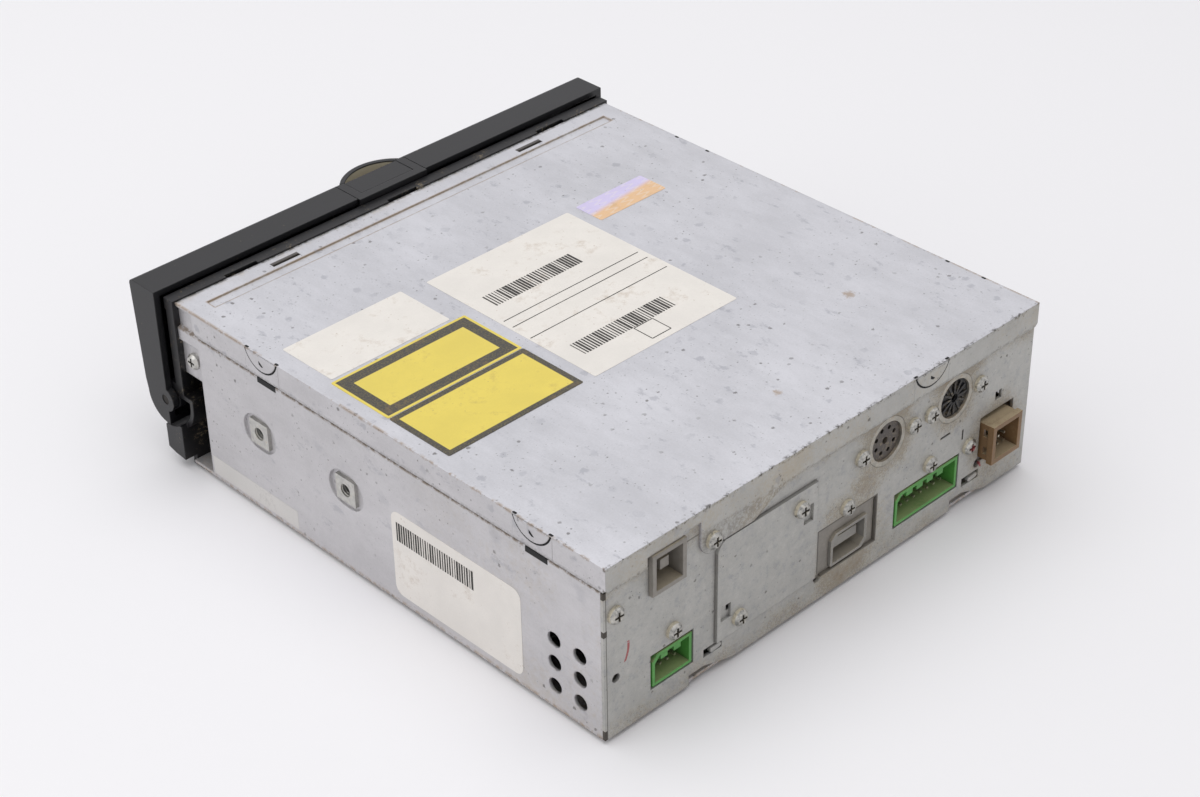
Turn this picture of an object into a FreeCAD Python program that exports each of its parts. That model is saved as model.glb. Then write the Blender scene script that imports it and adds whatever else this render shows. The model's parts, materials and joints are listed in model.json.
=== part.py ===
import FreeCAD, Part
import math
import os

import Sketcher
from FreeCAD import Rotation, Vector

# Car navigation disc drive: a flat steel case with a folding front flap and a panel of
# sockets at the rear. X runs across the case, +X being the side with the label.
# Y runs from the flap at the front to the sockets at the rear, and Z is up.
# Lengths are in millimetres. Pieces are laid out from the case's own datum: Y 0 is the
# front edge of the case and Z 0 the underside of its floor. The finished part stands on
# its feet, with its origin below the middle of its whole length.

doc = FreeCAD.newDocument("NavigationDiscDrive")
sheet = doc.addObject("Spreadsheet::Sheet", "Dimensions")


class Size:
    """A length: its number, and the formula that ties it to the sheet."""

    def __init__(self, number, formula):
        self.number = float(number)
        self.formula = formula

    def __add__(self, other):
        other = as_size(other)
        return Size(self.number + other.number, "(%s + %s)" % (self.formula, other.formula))

    def __sub__(self, other):
        other = as_size(other)
        return Size(self.number - other.number, "(%s - %s)" % (self.formula, other.formula))

    def __mul__(self, other):
        other = as_size(other)
        return Size(self.number * other.number, "(%s * %s)" % (self.formula, other.formula))

    def __truediv__(self, other):
        other = as_size(other)
        return Size(self.number / other.number, "(%s / %s)" % (self.formula, other.formula))

    def __radd__(self, other):
        return as_size(other) + self

    def __rsub__(self, other):
        return as_size(other) - self

    def __rmul__(self, other):
        return as_size(other) * self

    def __neg__(self):
        return Size(-self.number, "(0 - %s)" % self.formula)


def as_size(value):
    """Takes a plain number as a length too."""
    if isinstance(value, Size):
        return value
    return Size(value, "(%.9g)" % value)


sheet_rows = []


def size(alias, value, note):
    """Writes one driving dimension in the sheet and gives it back as a Size."""
    sheet_rows.append(alias)
    line = len(sheet_rows)
    sheet.set("A%d" % line, note)
    sheet.set("B%d" % line, str(value))
    sheet.setAlias("B%d" % line, alias)
    return Size(value, "Dimensions." + alias)


def tie(obj, target, value):
    """Binds a property to a length."""
    obj.setExpression(target, as_size(value).formula)


class Window:
    """A rectangle on the rear wall, given by its middle and its width and height."""

    def __init__(self, alias, x, z, width, height, note):
        self.x = size(alias + "_x", x, note + ", middle across")
        self.z = size(alias + "_z", z, note + ", middle height")
        self.width = size(alias + "_width", width, note + ", width")
        self.height = size(alias + "_height", height, note + ", height")

    def across(self, grow=0.0):
        """The X span, made wider on each side by grow."""
        return self.x - self.width / 2 - grow, self.x + self.width / 2 + grow

    def upright(self, grow=0.0):
        """The Z span, made taller at each end by grow."""
        return self.z - self.height / 2 - grow, self.z + self.height / 2 + grow


# Case
case_width = size("case_width", 178.0, "case over the side walls, one dashboard slot")
case_depth = size("case_depth", 181.0, "front edge to outer face of the rear wall")
case_height = size("case_height", 58.0, "floor underside to lid top")
sheet_gauge = size("sheet_gauge", 1.0, "case sheet thickness")
seam_height = size("seam_height", 50.0, "lower edge of the lid skirt")
seam_gap = size("seam_gap", 0.5, "open line under the skirt")
fold_gap = size("fold_gap", 0.1, "between the skirt and the wall it covers")
foot_height = size("foot_height", 1.5, "pressed feet below the floor")
foot_radius = size("foot_radius", 6.0, "pressed foot at the floor")
foot_across = size("foot_across", 60.0, "feet from the middle plane")
foot_front = size("foot_front", 24.0, "front feet from the front edge")
foot_rear = size("foot_rear", 158.0, "rear feet from the front edge")
vent_radius = size("vent_radius", 2.5, "side vent holes")
vent_pitch_y = size("vent_pitch_y", 9.8, "vent holes, along the side")
vent_pitch_z = size("vent_pitch_z", 7.95, "vent holes, upwards")
vent_y = size("vent_y", 162.0, "first vent column")
vent_z = size("vent_z", 7.8, "first vent row")
nut_y = size("nut_y", 36.5, "front side nut")
nut_pitch = size("nut_pitch", 39.75, "between the two side nuts")
nut_z = size("nut_z", 28.5, "side nuts, height")
nut_side = size("nut_side", 8.4, "square of the side nuts")
nut_bore = size("nut_bore", 2.1, "tapped hole radius, M5")
nut_collar = size("nut_collar", 3.3, "collar radius of the side nuts")
nut_lip = size("nut_lip", 0.2, "side nut proud of the case")
dimple_long = size("dimple_long", 16.0, "oval dimple along the side")
dimple_tall = size("dimple_tall", 13.0, "oval dimple upwards")
dimple_depth = size("dimple_depth", 1.0, "oval dimple, pressed in")
ear_depth = size("ear_depth", 9.5, "cut-out of the side wall at the front")
ear_height = size("ear_height", 45.4, "lower edge of the front ear")
tab_height = size("tab_height", 33.0, "lower edge of the inset screw tab")
tab_screw_y = size("tab_screw_y", 5.9, "screw of the inset tab from the front edge")
tab_screw_z = size("tab_screw_z", 39.7, "screw of the inset tab, height")
standoff_height = size("standoff_height", 5.0, "pressed stand-offs above the floor sheet")
standoff_radius = size("standoff_radius", 4.0, "pressed stand-offs")

# Lid
groove_front = size("groove_front", 6.5, "front groove, first edge")
groove_width = size("groove_width", 4.1, "front groove, width")
groove_half = size("groove_half", 82.0, "front groove, half its length")
groove_depth = size("groove_depth", 0.5, "front groove, depth")
lid_slot_x = size("lid_slot_x", 50.5, "front slots of the lid from the middle")
lid_slot_y = size("lid_slot_y", 3.8, "front slots of the lid from the front")
lid_slot_length = size("lid_slot_length", 10.0, "front slots, length")
lid_slot_width = size("lid_slot_width", 1.0, "front slots, width")
skirt_front = size("skirt_front", 7.5, "front end of the side skirts")
skirt_round = size("skirt_round", 3.0, "lower front corner of the side skirts")
snap_radius = size("snap_radius", 6.9, "half-round snap tabs of the skirt")
snap_slit = size("snap_slit", 0.5, "slit round a snap tab")
snap_front = size("snap_front", 41.2, "front snap tab")
snap_rear = size("snap_rear", 154.8, "rear snap tab")
snap_back_x = size("snap_back_x", -40.0, "snap tab of the rear skirt")
tab_screw_x = size("tab_screw_x", 49.6, "screw tab of the lid, middle")
tab_width = size("tab_width", 8.6, "screw tab of the lid, width")
tab_bottom = size("tab_bottom", 42.1, "screw tab of the lid, lower end")

# Rear wall openings and what sits in them
panel_gap = size("panel_gap", 0.7, "round a socket in its opening")
narrow_green = Window("narrow_green", 63.8, 13.2, 15.0, 10.4, "narrow green socket")
wide_green = Window("wide_green", -42.35, 13.5, 28.1, 11.0, "wide green socket")
ribbon_hole = Window("ribbon_hole", -7.1, 16.0, 24.8, 16.0, "opening of the ribbon socket")
ribbon = Window("ribbon", -7.95, 14.15, 15.3, 10.9, "shell of the ribbon socket")
tongue = Window("tongue", -7.7, 14.9, 10.2, 3.2, "tongue of the ribbon socket")
brown = Window("brown", -73.25, 19.4, 12.5, 12.4, "brown socket")
brown_hole = Window("brown_hole", -74.0, 19.5, 15.6, 16.0, "opening of the brown socket")
grey = Window("grey", 66.2, 46.55, 12.6, 13.3, "grey socket")
access = Window("access", 27.4, 26.45, 40.0, 33.9, "access plate")
service = Window("service", 27.5, 26.5, 31.0, 17.0, "service opening under the access plate")
sight_low = Window("sight_low", 44.0, 18.5, 3.9, 5.0, "low window of the access plate")
sight_high = Window("sight_high", 11.05, 34.1, 3.9, 5.9, "high window of the access plate")
hook_left = Window("hook_left", 48.0, 7.7, 7.2, 2.8, "hook slot beside the narrow socket")
hook_right = Window("hook_right", -63.2, 7.5, 7.9, 3.0, "hook slot beside the wide socket")
pick_hole = Window("pick_hole", -74.1, 32.3, 3.0, 3.0, "square hole over the brown socket")
slit_flat = Window("slit_flat", -49.7, 29.4, 4.5, 0.7, "short level slit")
slit_tall = Window("slit_tall", -58.0, 25.8, 0.7, 3.6, "short upright slit")
wave_left = Window("wave_left", 48.8, 1.0, 17.0, 5.0, "wavy recess of the lower edge, left")
wave_right = Window("wave_right", -62.2, 1.2, 16.2, 5.4, "wavy recess of the lower edge, right")
round_socket_x = size("round_socket_x", -22.8, "first round socket")
round_socket_pitch = size("round_socket_pitch", 30.25, "between the round sockets")
round_socket_z = size("round_socket_z", 41.0, "round sockets, height")
round_socket_radius = size("round_socket_radius", 8.0, "round socket opening")
round_insert_radius = size("round_insert_radius", 6.4, "insert of a round socket")
round_ear = size("round_ear", 11.2, "screws of a round socket from its middle")
round_recess = size("round_recess", 0.85, "face of a round insert below the panel")
socket_wall = size("socket_wall", 1.0, "moulded wall of the sockets")
grey_proud = size("grey_proud", 1.5, "grey socket in front of the panel")
brown_proud = size("brown_proud", 5.0, "brown socket in front of the panel")
brown_collar = size("brown_collar", 0.5, "collar at the mouth of the brown socket")
key_width = size("key_width", 2.8, "key ribs of the wide green socket")
key_pitch = size("key_pitch", 4.6, "key ribs, spacing")
key_depth = size("key_depth", 2.2, "key ribs, hanging from the roof")
key_first = size("key_first", -35.2, "first key rib")
spare_hole_x = size("spare_hole_x", 84.8, "spare screw hole, across")
spare_hole_z = size("spare_hole_z", 19.4, "spare screw hole, height")
spare_hole_radius = size("spare_hole_radius", 1.4, "spare screw hole")

# Screws
head_radius = size("head_radius", 2.6, "pan head of the case screws")
head_height = size("head_height", 1.9, "pan head, height")
shank_radius = size("shank_radius", 1.25, "screw shank")
shank_length = size("shank_length", 5.0, "screw shank, length")
recess_width = size("recess_width", 0.7, "cross recess, arm width")
recess_depth = size("recess_depth", 1.1, "cross recess, depth")

# Front flap and frame
flap_width = size("flap_width", 185.0, "flap over its cheeks")
flap_top = size("flap_top", 60.5, "top of the flap")
flap_rear = size("flap_rear", -5.5, "rear edge of the flap")
flap_front = size("flap_front", -17.8, "front face of the flap at the top")
flap_front_low = size("flap_front_low", -15.9, "front face of the flap at the hinge's height")
flap_wall = size("flap_wall", 2.0, "wall of the flap")
flap_fillet = size("flap_fillet", 1.6, "rounded top front edge")
hinge_y = size("hinge_y", -6.5, "hinge line of the flap")
hinge_z = size("hinge_z", 22.0, "hinge line of the flap, height")
hinge_round = size("hinge_round", 8.7, "lower round of the flap, about the hinge")
hinge_lug = size("hinge_lug", 4.0, "round lug about the hinge pin")
hinge_pin_radius = size("hinge_pin_radius", 1.6, "hinge pin")
running_gap = size("running_gap", 0.08, "shaft in its bore, on the radius")
moving_gap = size("moving_gap", 0.3, "between pieces that pass each other")
frame_width = size("frame_width", 180.0, "frame over its sides")
frame_top = size("frame_top", 58.6, "top of the frame")
frame_front = size("frame_front", -4.2, "front of the frame")
frame_side = size("frame_side", 4.0, "width of the frame's sides")
fascia_rear = size("fascia_rear", -0.7, "rear of the fascia wall")
fascia_gauge = size("fascia_gauge", 2.3, "fascia wall")
bumper_width = size("bumper_width", 184.6, "lower bumper")
bumper_front = size("bumper_front", -8.3, "front of the lower bumper")
bumper_low = size("bumper_low", 2.5, "underside of the lower bumper")
slot_low = size("slot_low", 31.8, "disc slot, lower edge")
slot_high = size("slot_high", 38.0, "disc slot, upper edge")
slot_width = size("slot_width", 126.0, "disc slot")
felt_gauge = size("felt_gauge", 0.6, "dust felts")
felt_gap = size("felt_gap", 2.0, "between the two dust felts")
button_x = size("button_x", 52.0, "eject button")
button_z = size("button_z", 46.0, "eject button, height")
button_width = size("button_width", 12.0, "eject button, width")
button_height = size("button_height", 4.6, "eject button, height of its face")
button_travel = size("button_travel", 1.5, "eject button, travel")
latch_width = size("latch_width", 27.6, "latch block")
latch_rear = size("latch_rear", -4.6, "rear edge of the latch block")
latch_low = size("latch_low", 49.5, "underside of the latch block")
latch_axis_y = size("latch_axis_y", -11.0, "latch pin")
latch_axis_z = size("latch_axis_z", 52.0, "latch pin, height")
latch_pin_radius = size("latch_pin_radius", 1.0, "latch pin")
lip_radius = size("lip_radius", 16.5, "finger lip, seen from above")
lip_bulge = size("lip_bulge", 4.4, "finger lip in front of the flap")
lip_low = size("lip_low", 52.0, "underside of the finger lip")
pocket_floor = size("pocket_floor", 54.5, "floor of the finger pocket")
screw_hole = size("screw_hole", 1.35, "clearance hole of a case screw")
nut_tail = size("nut_tail", 1.5, "collar of a side nut inside the wall")
relief_radius = size("relief_radius", 1.6, "round relief at a socket opening's corner")
access_round = size("access_round", 4.0, "rounded corner of the access plate")
flange_half = size("flange_half", 70.0, "foot flange of the rear wall, half its width")
flange_depth = size("flange_depth", 6.0, "foot flange of the rear wall")
ear_flange = size("ear_flange", 4.0, "side flanges of the rear wall")
lid_step_start = size("lid_step_start", 21.0, "rear skirt starts to step down")
lid_step_end = size("lid_step_end", 33.5, "rear skirt has stepped down")
lid_notch_top = size("lid_notch_top", 54.3, "notch of the rear skirt beside the screw tab")
lid_notch_side = size("lid_notch_side", 1.4, "rear skirt beside the grey socket")
lid_screw_z = size("lid_screw_z", 46.4, "screw of the lid's tab, height")
screw_corner_x = size("screw_corner_x", 85.0, "corner screw")
screw_corner_z = size("screw_corner_z", 41.0, "corner screw, height")
screw_narrow_x = size("screw_narrow_x", 63.5, "screw over the narrow green socket")
screw_narrow_z = size("screw_narrow_z", 23.2, "screw over the narrow green socket, height")
screw_ribbon_x = size("screw_ribbon_x", -6.2, "screw over the ribbon socket")
screw_ribbon_z = size("screw_ribbon_z", 26.9, "screw over the ribbon socket, height")
screw_wide_left_x = size("screw_wide_left_x", -42.7, "screw over the wide green socket")
screw_wide_left_z = size("screw_wide_left_z", 23.1, "screw over the wide green socket, height")
screw_wide_right_x = size("screw_wide_right_x", -61.0, "screw beside the brown socket")
screw_wide_right_z = size("screw_wide_right_z", 20.3, "screw beside the brown socket, height")
screw_access_low_x = size("screw_access_low_x", 38.9, "low screw of the access plate")
screw_access_low_z = size("screw_access_low_z", 14.1, "low screw of the access plate, height")
screw_access_high_x = size("screw_access_high_x", 14.6, "high screw of the access plate")
screw_access_high_z = size("screw_access_high_z", 37.7, "high screw of the access plate, height")

# Electronics
board_gauge = size("board_gauge", 1.6, "circuit boards")
board_half = size("board_half", 69.0, "main board, half its width")
board_front = size("board_front", 10.0, "main board, front edge")
board_rear_gap = size("board_rear_gap", 3.0, "main board to the rear wall")
board_hole_x = size("board_hole_x", 62.0, "main board screws from the middle")
board_hole_front = size("board_hole_front", 12.5, "front screws of the main board")
board_hole_rear = size("board_hole_rear", 145.0, "rear screws of the main board")
socket_back = size("socket_back", 168.0, "rear end of the socket bodies inside the case")
socket_floor = size("socket_floor", 172.0, "floor of the sockets' cavities")
socket_chamfer = size("socket_chamfer", 2.0, "keyed corner of the green sockets")
narrow_rib_width = size("narrow_rib_width", 2.6, "key ribs of the narrow green socket")
upper_board_z = size("upper_board_z", 30.9, "underside of the socket board")
upper_board_left = size("upper_board_left", 80.0, "socket board, +X edge")
upper_board_right = size("upper_board_right", -75.0, "socket board, -X edge")
upper_board_front = size("upper_board_front", 152.0, "socket board, front edge")
round_flange_half = size("round_flange_half", 14.0, "flange of a round socket, half its width")
round_flange_tall = size("round_flange_tall", 9.0, "flange of a round socket, height")
round_flange_gauge = size("round_flange_gauge", 1.5, "flange of a round socket")
brown_window = size("brown_window", 2.6, "side windows of the brown socket")
pin_side = size("pin_side", 0.7, "contact pins")
pin_mouth = size("pin_mouth", 3.0, "contact tips below the sockets' mouths")
bumper_gap = size("bumper_gap", 0.5, "lower bumper to the flap's round edge")
trough_wall = size("trough_wall", 1.5, "curved wall behind the flap's lower edge")
trough_ledge = size("trough_ledge", 1.6, "top of the trough above the hinge line")
bumper_chamfer = size("bumper_chamfer", 0.7, "top front edge of the bumper")
bumper_top_rear = size("bumper_top_rear", -1.0, "the bumper's hollow top ends here")
collar_depth = size("collar_depth", 3.0, "frame's collar under the floor")
collar_front = size("collar_front", -2.0, "front of the frame's collar")
lug_inner = size("lug_inner", 80.0, "screw lugs of the frame, inner face")
lug_depth = size("lug_depth", 10.0, "screw lugs of the frame")
hinge_lug_gauge = size("hinge_lug_gauge", 2.5, "hinge lugs of the frame")
cheek_gap = size("cheek_gap", 0.3, "flap cheeks to the frame")
flap_rib = size("flap_rib", 2.5, "ribs that hold the latch pin")
latch_drop = size("latch_drop", 1.2, "notch of the flap below the latch")
latch_wall = size("latch_wall", 1.5, "wall of the latch block")
pin_inner = size("pin_inner", 81.0, "inner end of the hinge pins")
spring_wire = size("spring_wire", 0.8, "wire of the flap's spring")
window_notch = size("window_notch", 12.0, "clip windows along the frame's top")
shelf_z = size("shelf_z", 28.0, "underside of the socket board's shelf")
shelf_front = size("shelf_front", 153.0, "front edge of the shelf")
shelf_rear = size("shelf_rear", 175.0, "rear edge of the shelf")
shelf_boss_x = size("shelf_boss_x", 40.0, "bosses of the shelf from the middle")
shelf_boss_radius = size("shelf_boss_radius", 3.0, "bosses of the shelf")
chip_height = size("chip_height", 1.8, "chips on the main board")
capacitor_radius = size("capacitor_radius", 4.0, "capacitors")
capacitor_height = size("capacitor_height", 8.0, "capacitors, height")
capacitor_y = size("capacitor_y", 158.0, "row of capacitors from the front")
front_board_y = size("front_board_y", 6.0, "front face of the switch board")
front_board_half = size("front_board_half", 14.0, "switch board, half its width")
front_board_tall = size("front_board_tall", 9.0, "switch board, height")
boss_radius = size("boss_radius", 1.8, "bosses that carry the switch board")

# Drive
rail_inner = size("rail_inner", 73.5, "suspension rails, inner edge")
rail_front = size("rail_front", 12.0, "suspension rails, front end")
rail_rear = size("rail_rear", 150.0, "suspension rails, rear end")
rail_z = size("rail_z", 11.0, "suspension rails, underside of the shelf")
rail_top = size("rail_top", 19.0, "suspension rails, top of the flange")
damper_x = size("damper_x", 78.0, "damper bushes from the middle")
damper_front = size("damper_front", 20.0, "front damper bushes")
damper_rear = size("damper_rear", 140.0, "rear damper bushes")
damper_radius = size("damper_radius", 5.0, "lower flange of a damper bush")
damper_neck = size("damper_neck", 3.0, "neck of a damper bush")
damper_pin = size("damper_pin", 1.5, "pins of the dampers")
deck_z = size("deck_z", 14.0, "underside of the deck plate")
deck_half = size("deck_half", 66.0, "deck over its side walls, half its width")
deck_front = size("deck_front", 10.0, "front edge of the deck")
deck_rear = size("deck_rear", 150.0, "rear edge of the deck")
deck_wall_top = size("deck_wall_top", 43.0, "top of the deck's side walls")
disc_y = size("disc_y", 78.0, "middle of the clamped disc")
disc_z = size("disc_z", 33.4, "underside of the clamped disc")
roller_y = size("roller_y", 16.0, "feed roller")
roller_z = size("roller_z", 29.7, "feed roller, height")
roller_radius = size("roller_radius", 4.5, "feed roller at its ends")
roller_waist = size("roller_waist", 4.0, "feed roller at its middle")
roller_half = size("roller_half", 60.0, "feed roller, half its length")
shaft_radius = size("shaft_radius", 1.5, "roller shaft, guide rods and lead screw")
arm_y = size("arm_y", 38.0, "pivot of the roller arm")
arm_z = size("arm_z", 24.0, "pivot of the roller arm, height")
arm_inner = size("arm_inner", 62.2, "roller arm plates, inner face")
arm_gauge = size("arm_gauge", 2.0, "roller arm plates")
arm_angle = size("arm_angle", 10.3, "swing of the roller arm, degrees")
cam_pin_radius = size("cam_pin_radius", 1.2, "cam pins")
roller_cam_y = size("roller_cam_y", 28.0, "cam pin of the roller arm")
roller_cam_z = size("roller_cam_z", 20.0, "cam pin of the roller arm, height")
clamp_y = size("clamp_y", 134.0, "hinge of the clamp arm")
clamp_z = size("clamp_z", 41.5, "hinge of the clamp arm, height")
clamp_angle = size("clamp_angle", 3.58, "swing of the clamp arm, degrees")
clamp_cam_y = size("clamp_cam_y", 100.0, "cam pin of the clamp arm")
clamp_cam_z = size("clamp_cam_z", 38.0, "cam pin of the clamp arm, height")
clamp_half = size("clamp_half", 60.0, "clamp arm at its hinge, half its width")
clamp_blade = size("clamp_blade", 16.0, "clamp arm over the disc, half its width")
cam_travel = size("cam_travel", 10.0, "travel of the cam slider")
cam_gap = size("cam_gap", 0.3, "cam pin in its slot, each side")
slider_inner = size("slider_inner", 67.0, "cam slider, inner face")
slider_gauge = size("slider_gauge", 1.2, "cam slider")
gear_module = size("gear_module", 0.6, "teeth, pitch diameter over their count")
gear_width = size("gear_width", 3.0, "toothed rims")
gear_inner = size("gear_inner", 68.5, "first gear row from the middle")
wheel_inner = size("wheel_inner", 73.0, "worm wheel from the middle")
drive_y = size("drive_y", 18.7, "drive gear")
drive_z = size("drive_z", 40.15, "drive gear and idler gear, height")
idler_y = size("idler_y", 27.7, "idler gear")
axle_radius = size("axle_radius", 1.0, "gear axles")
worm_x = size("worm_x", 74.5, "worm from the middle")
worm_z = size("worm_z", 26.85, "worm, height")
worm_radius = size("worm_radius", 1.9, "worm")
motor_radius = size("motor_radius", 7.75, "loading motor")
motor_flat = size("motor_flat", 6.0, "loading motor, half its width over the flats")
motor_length = size("motor_length", 25.0, "loading motor")
table_radius = size("table_radius", 13.0, "turntable")
hub_radius = size("hub_radius", 7.4, "centring hub of the turntable")
hub_rise = size("hub_rise", 1.2, "centring hub above the pad")
pad_gauge = size("pad_gauge", 0.4, "rubber pad of the turntable")
spindle_radius = size("spindle_radius", 12.0, "spindle motor")
spindle_height = size("spindle_height", 8.0, "spindle motor, height")
puck_radius = size("puck_radius", 13.0, "clamp puck")
puck_neck = size("puck_neck", 8.0, "neck of the clamp puck")
puck_z = size("puck_z", 38.2, "underside of the raised clamp puck")
traverse_left = size("traverse_left", 36.0, "traverse frame, +X edge")
traverse_right = size("traverse_right", -44.0, "traverse frame, -X edge")
traverse_front = size("traverse_front", 57.0, "traverse frame, front edge")
traverse_rear = size("traverse_rear", 149.0, "traverse frame, rear edge")
traverse_z = size("traverse_z", 16.0, "traverse frame, underside")
traverse_gauge = size("traverse_gauge", 2.0, "traverse frame")
guide_x = size("guide_x", 20.0, "guide rods from the middle")
guide_z = size("guide_z", 21.2, "guide rods and lead screw, height")
guide_front = size("guide_front", 88.0, "front end of the guide rods")
guide_rear = size("guide_rear", 148.0, "rear end of the guide rods")
guide_post = size("guide_post", 2.5, "posts that hold the guide rods")
lens_start = size("lens_start", 24.0, "lens to the disc's middle at the first track")
pickup_front = size("pickup_front", 6.0, "pickup body in front of the lens")
pickup_rear = size("pickup_rear", 9.0, "pickup body behind the lens")
pickup_top = size("pickup_top", 29.5, "top of the pickup body")
lens_radius = size("lens_radius", 2.2, "lens")
lens_travel = size("lens_travel", 0.5, "focus travel of the lens each way")
lead_x = size("lead_x", -28.0, "lead screw")
sled_radius = size("sled_radius", 7.5, "sled motor")
sled_front = size("sled_front", 75.0, "sled motor, front end")
sled_rear = size("sled_rear", 87.5, "sled motor, rear end")

half_width = case_width / 2
part_rear = case_depth + brown_proud
part_front = flap_front - lip_bulge
origin_y = (part_rear + part_front) / 2

TURNS = {
    "x": Rotation(Vector(0, 1, 0), 90),
    "y": Rotation(Vector(1, 0, 0), -90),
    "z": Rotation(),
}
PLANES = {
    "yz": Rotation(Vector(1, 1, 1), 120),
    "xz": Rotation(Vector(1, 0, 0), 90),
    "xy": Rotation(),
}
NORMALS = {"yz": Vector(1, 0, 0), "xz": Vector(0, 1, 0), "xy": Vector(0, 0, 1)}


def put(obj, x, y, z, turn=None):
    """Places an object at a point given from the case's datum."""
    if turn is not None:
        obj.Placement.Rotation = turn
    tie(obj, "Placement.Base.x", x)
    tie(obj, "Placement.Base.y", y - origin_y)
    tie(obj, "Placement.Base.z", z + foot_height)


def block(name, across, along, upright):
    """A box between its X, Y and Z limits."""
    made = doc.addObject("Part::Box", name)
    tie(made, "Length", as_size(across[1]) - across[0])
    tie(made, "Width", as_size(along[1]) - along[0])
    tie(made, "Height", as_size(upright[1]) - upright[0])
    put(made, across[0], along[0], upright[0])
    return made


def spot(axis, place, start):
    """The point on an axis: place holds the two other coordinates in X, Y, Z order."""
    if axis == "x":
        return start, place[0], place[1]
    if axis == "y":
        return place[0], start, place[1]
    return place[0], place[1], start


def rod(name, axis, place, reach, radius):
    """A cylinder along an axis, from reach[0] to reach[1]."""
    made = doc.addObject("Part::Cylinder", name)
    tie(made, "Radius", radius)
    tie(made, "Height", as_size(reach[1]) - reach[0])
    put(made, *spot(axis, place, reach[0]), turn=TURNS[axis])
    return made


def taper(name, axis, place, reach, radius_from, radius_to):
    """A cone along an axis."""
    made = doc.addObject("Part::Cone", name)
    tie(made, "Radius1", radius_from)
    tie(made, "Radius2", radius_to)
    tie(made, "Height", as_size(reach[1]) - reach[0])
    put(made, *spot(axis, place, reach[0]), turn=TURNS[axis])
    return made


def fuse(name, *shapes):
    """Joins solids into one."""
    made = doc.addObject("Part::MultiFuse", name)
    made.Shapes = list(shapes)
    made.Refine = True
    return made


def group(name, *shapes):
    """Keeps separate solids together in one node."""
    made = doc.addObject("Part::Compound", name)
    made.Links = list(shapes)
    return made


def cut(name, base, *tools):
    """Takes one or more solids away from a base."""
    tool = tools[0]
    if len(tools) > 1:
        tool = fuse(name + "_cutters", *tools)
    made = doc.addObject("Part::Cut", name)
    made.Base = base
    made.Tool = tool
    made.Refine = True
    return made


def arc_between(start, end, radius, side):
    """The short arc of a radius between two points, turning left (1) or right (-1)."""
    middle = (start + end) / 2
    chord = end - start
    left = Vector(-chord.y, chord.x, 0).normalize()
    rise = math.sqrt(max(radius ** 2 - (chord.Length / 2) ** 2, 0.0))
    centre = middle + left * rise * side
    first, last = (start, end) if side > 0 else (end, start)
    begin = math.atan2(first.y - centre.y, first.x - centre.x)
    finish = math.atan2(last.y - centre.y, last.x - centre.x)
    if finish <= begin:
        finish += 2 * math.pi
    circle = Part.Circle(centre, Vector(0, 0, 1), radius)
    return Part.ArcOfCircle(circle, begin, finish)


def draw(sketch, corners):
    """Draws a closed outline whose corners and radii are tied to the sheet.

    A corner is (u, v), or (u, v, radius, side) where an arc leads on to the next corner.
    """
    points = [Vector(as_size(c[0]).number, as_size(c[1]).number, 0) for c in corners]
    starts = []
    ends = []
    for number, corner in enumerate(corners):
        start = points[number]
        end = points[(number + 1) % len(points)]
        if len(corner) == 2:
            edge = sketch.addGeometry(Part.LineSegment(start, end), False)
            starts.append((edge, 1))
            ends.append((edge, 2))
            continue
        radius, side = as_size(corner[2]), corner[3]
        edge = sketch.addGeometry(arc_between(start, end, radius.number, side), False)
        starts.append((edge, 1 if side > 0 else 2))
        ends.append((edge, 2 if side > 0 else 1))
        held = sketch.addConstraint(Sketcher.Constraint("Radius", edge, radius.number))
        sketch.setExpression("Constraints[%d]" % held, radius.formula)
    for number, corner in enumerate(corners):
        edge, end = starts[number]
        sketch.addConstraint(Sketcher.Constraint("Coincident", *ends[number - 1], edge, end))
        for kind, value in (("DistanceX", as_size(corner[0])), ("DistanceY", as_size(corner[1]))):
            held = sketch.addConstraint(Sketcher.Constraint(kind, -1, 1, edge, end, value.number))
            sketch.setExpression("Constraints[%d]" % held, value.formula)
    return sketch


def prism(name, plane, corners, reach):
    """An outline in the named plane, extruded along the third axis."""
    sketch = doc.addObject("Sketcher::SketchObject", name + "_outline")
    draw(sketch, corners)
    axis = {"yz": "x", "xz": "y", "xy": "z"}[plane]
    put(sketch, *spot(axis, (0, 0), reach[0]), turn=PLANES[plane])
    made = doc.addObject("Part::Extrusion", name)
    made.Base = sketch
    made.DirMode = "Custom"
    made.Dir = NORMALS[plane]
    made.Solid = True
    tie(made, "LengthFwd", as_size(reach[1]) - reach[0])
    return made


def origin_plane(body, role):
    """One of a body's own origin planes or axes."""
    return [f for f in body.Origin.OriginFeatures if f.Role == role][0]


def turned(name, axis, place, start, profile):
    """A turned piece: its profile is (radius, along the axis), spun about the axis."""
    body = doc.addObject("PartDesign::Body", name)
    sketch = body.newObject("Sketcher::SketchObject", name + "_profile")
    sketch.AttachmentSupport = [(origin_plane(body, "XZ_Plane"), "")]
    sketch.MapMode = "FlatFace"
    draw(sketch, profile)
    spun = body.newObject("PartDesign::Revolution", name + "_spun")
    spun.Profile = sketch
    spun.ReferenceAxis = (sketch, ["V_Axis"])
    spun.Angle = 360
    put(body, *spot(axis, place, start), turn=TURNS[axis])
    return body


pieces = {}


def piece(name, made):
    """Gives a finished sub-part its name."""
    made.Label = name
    pieces[name] = made
    return made


def both_sides(maker):
    """Calls a maker for the +X side and the -X side."""
    return [maker("left", 1), maker("right", -1)]


def side_span(side, inner, outer):
    """An X span on one side of the middle plane, from its inner to its outer limit."""
    if side > 0:
        return inner, outer
    return -as_size(outer), -as_size(inner)


# Case: base tray, rear wall, access plate, lid, side nuts and screws

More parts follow.
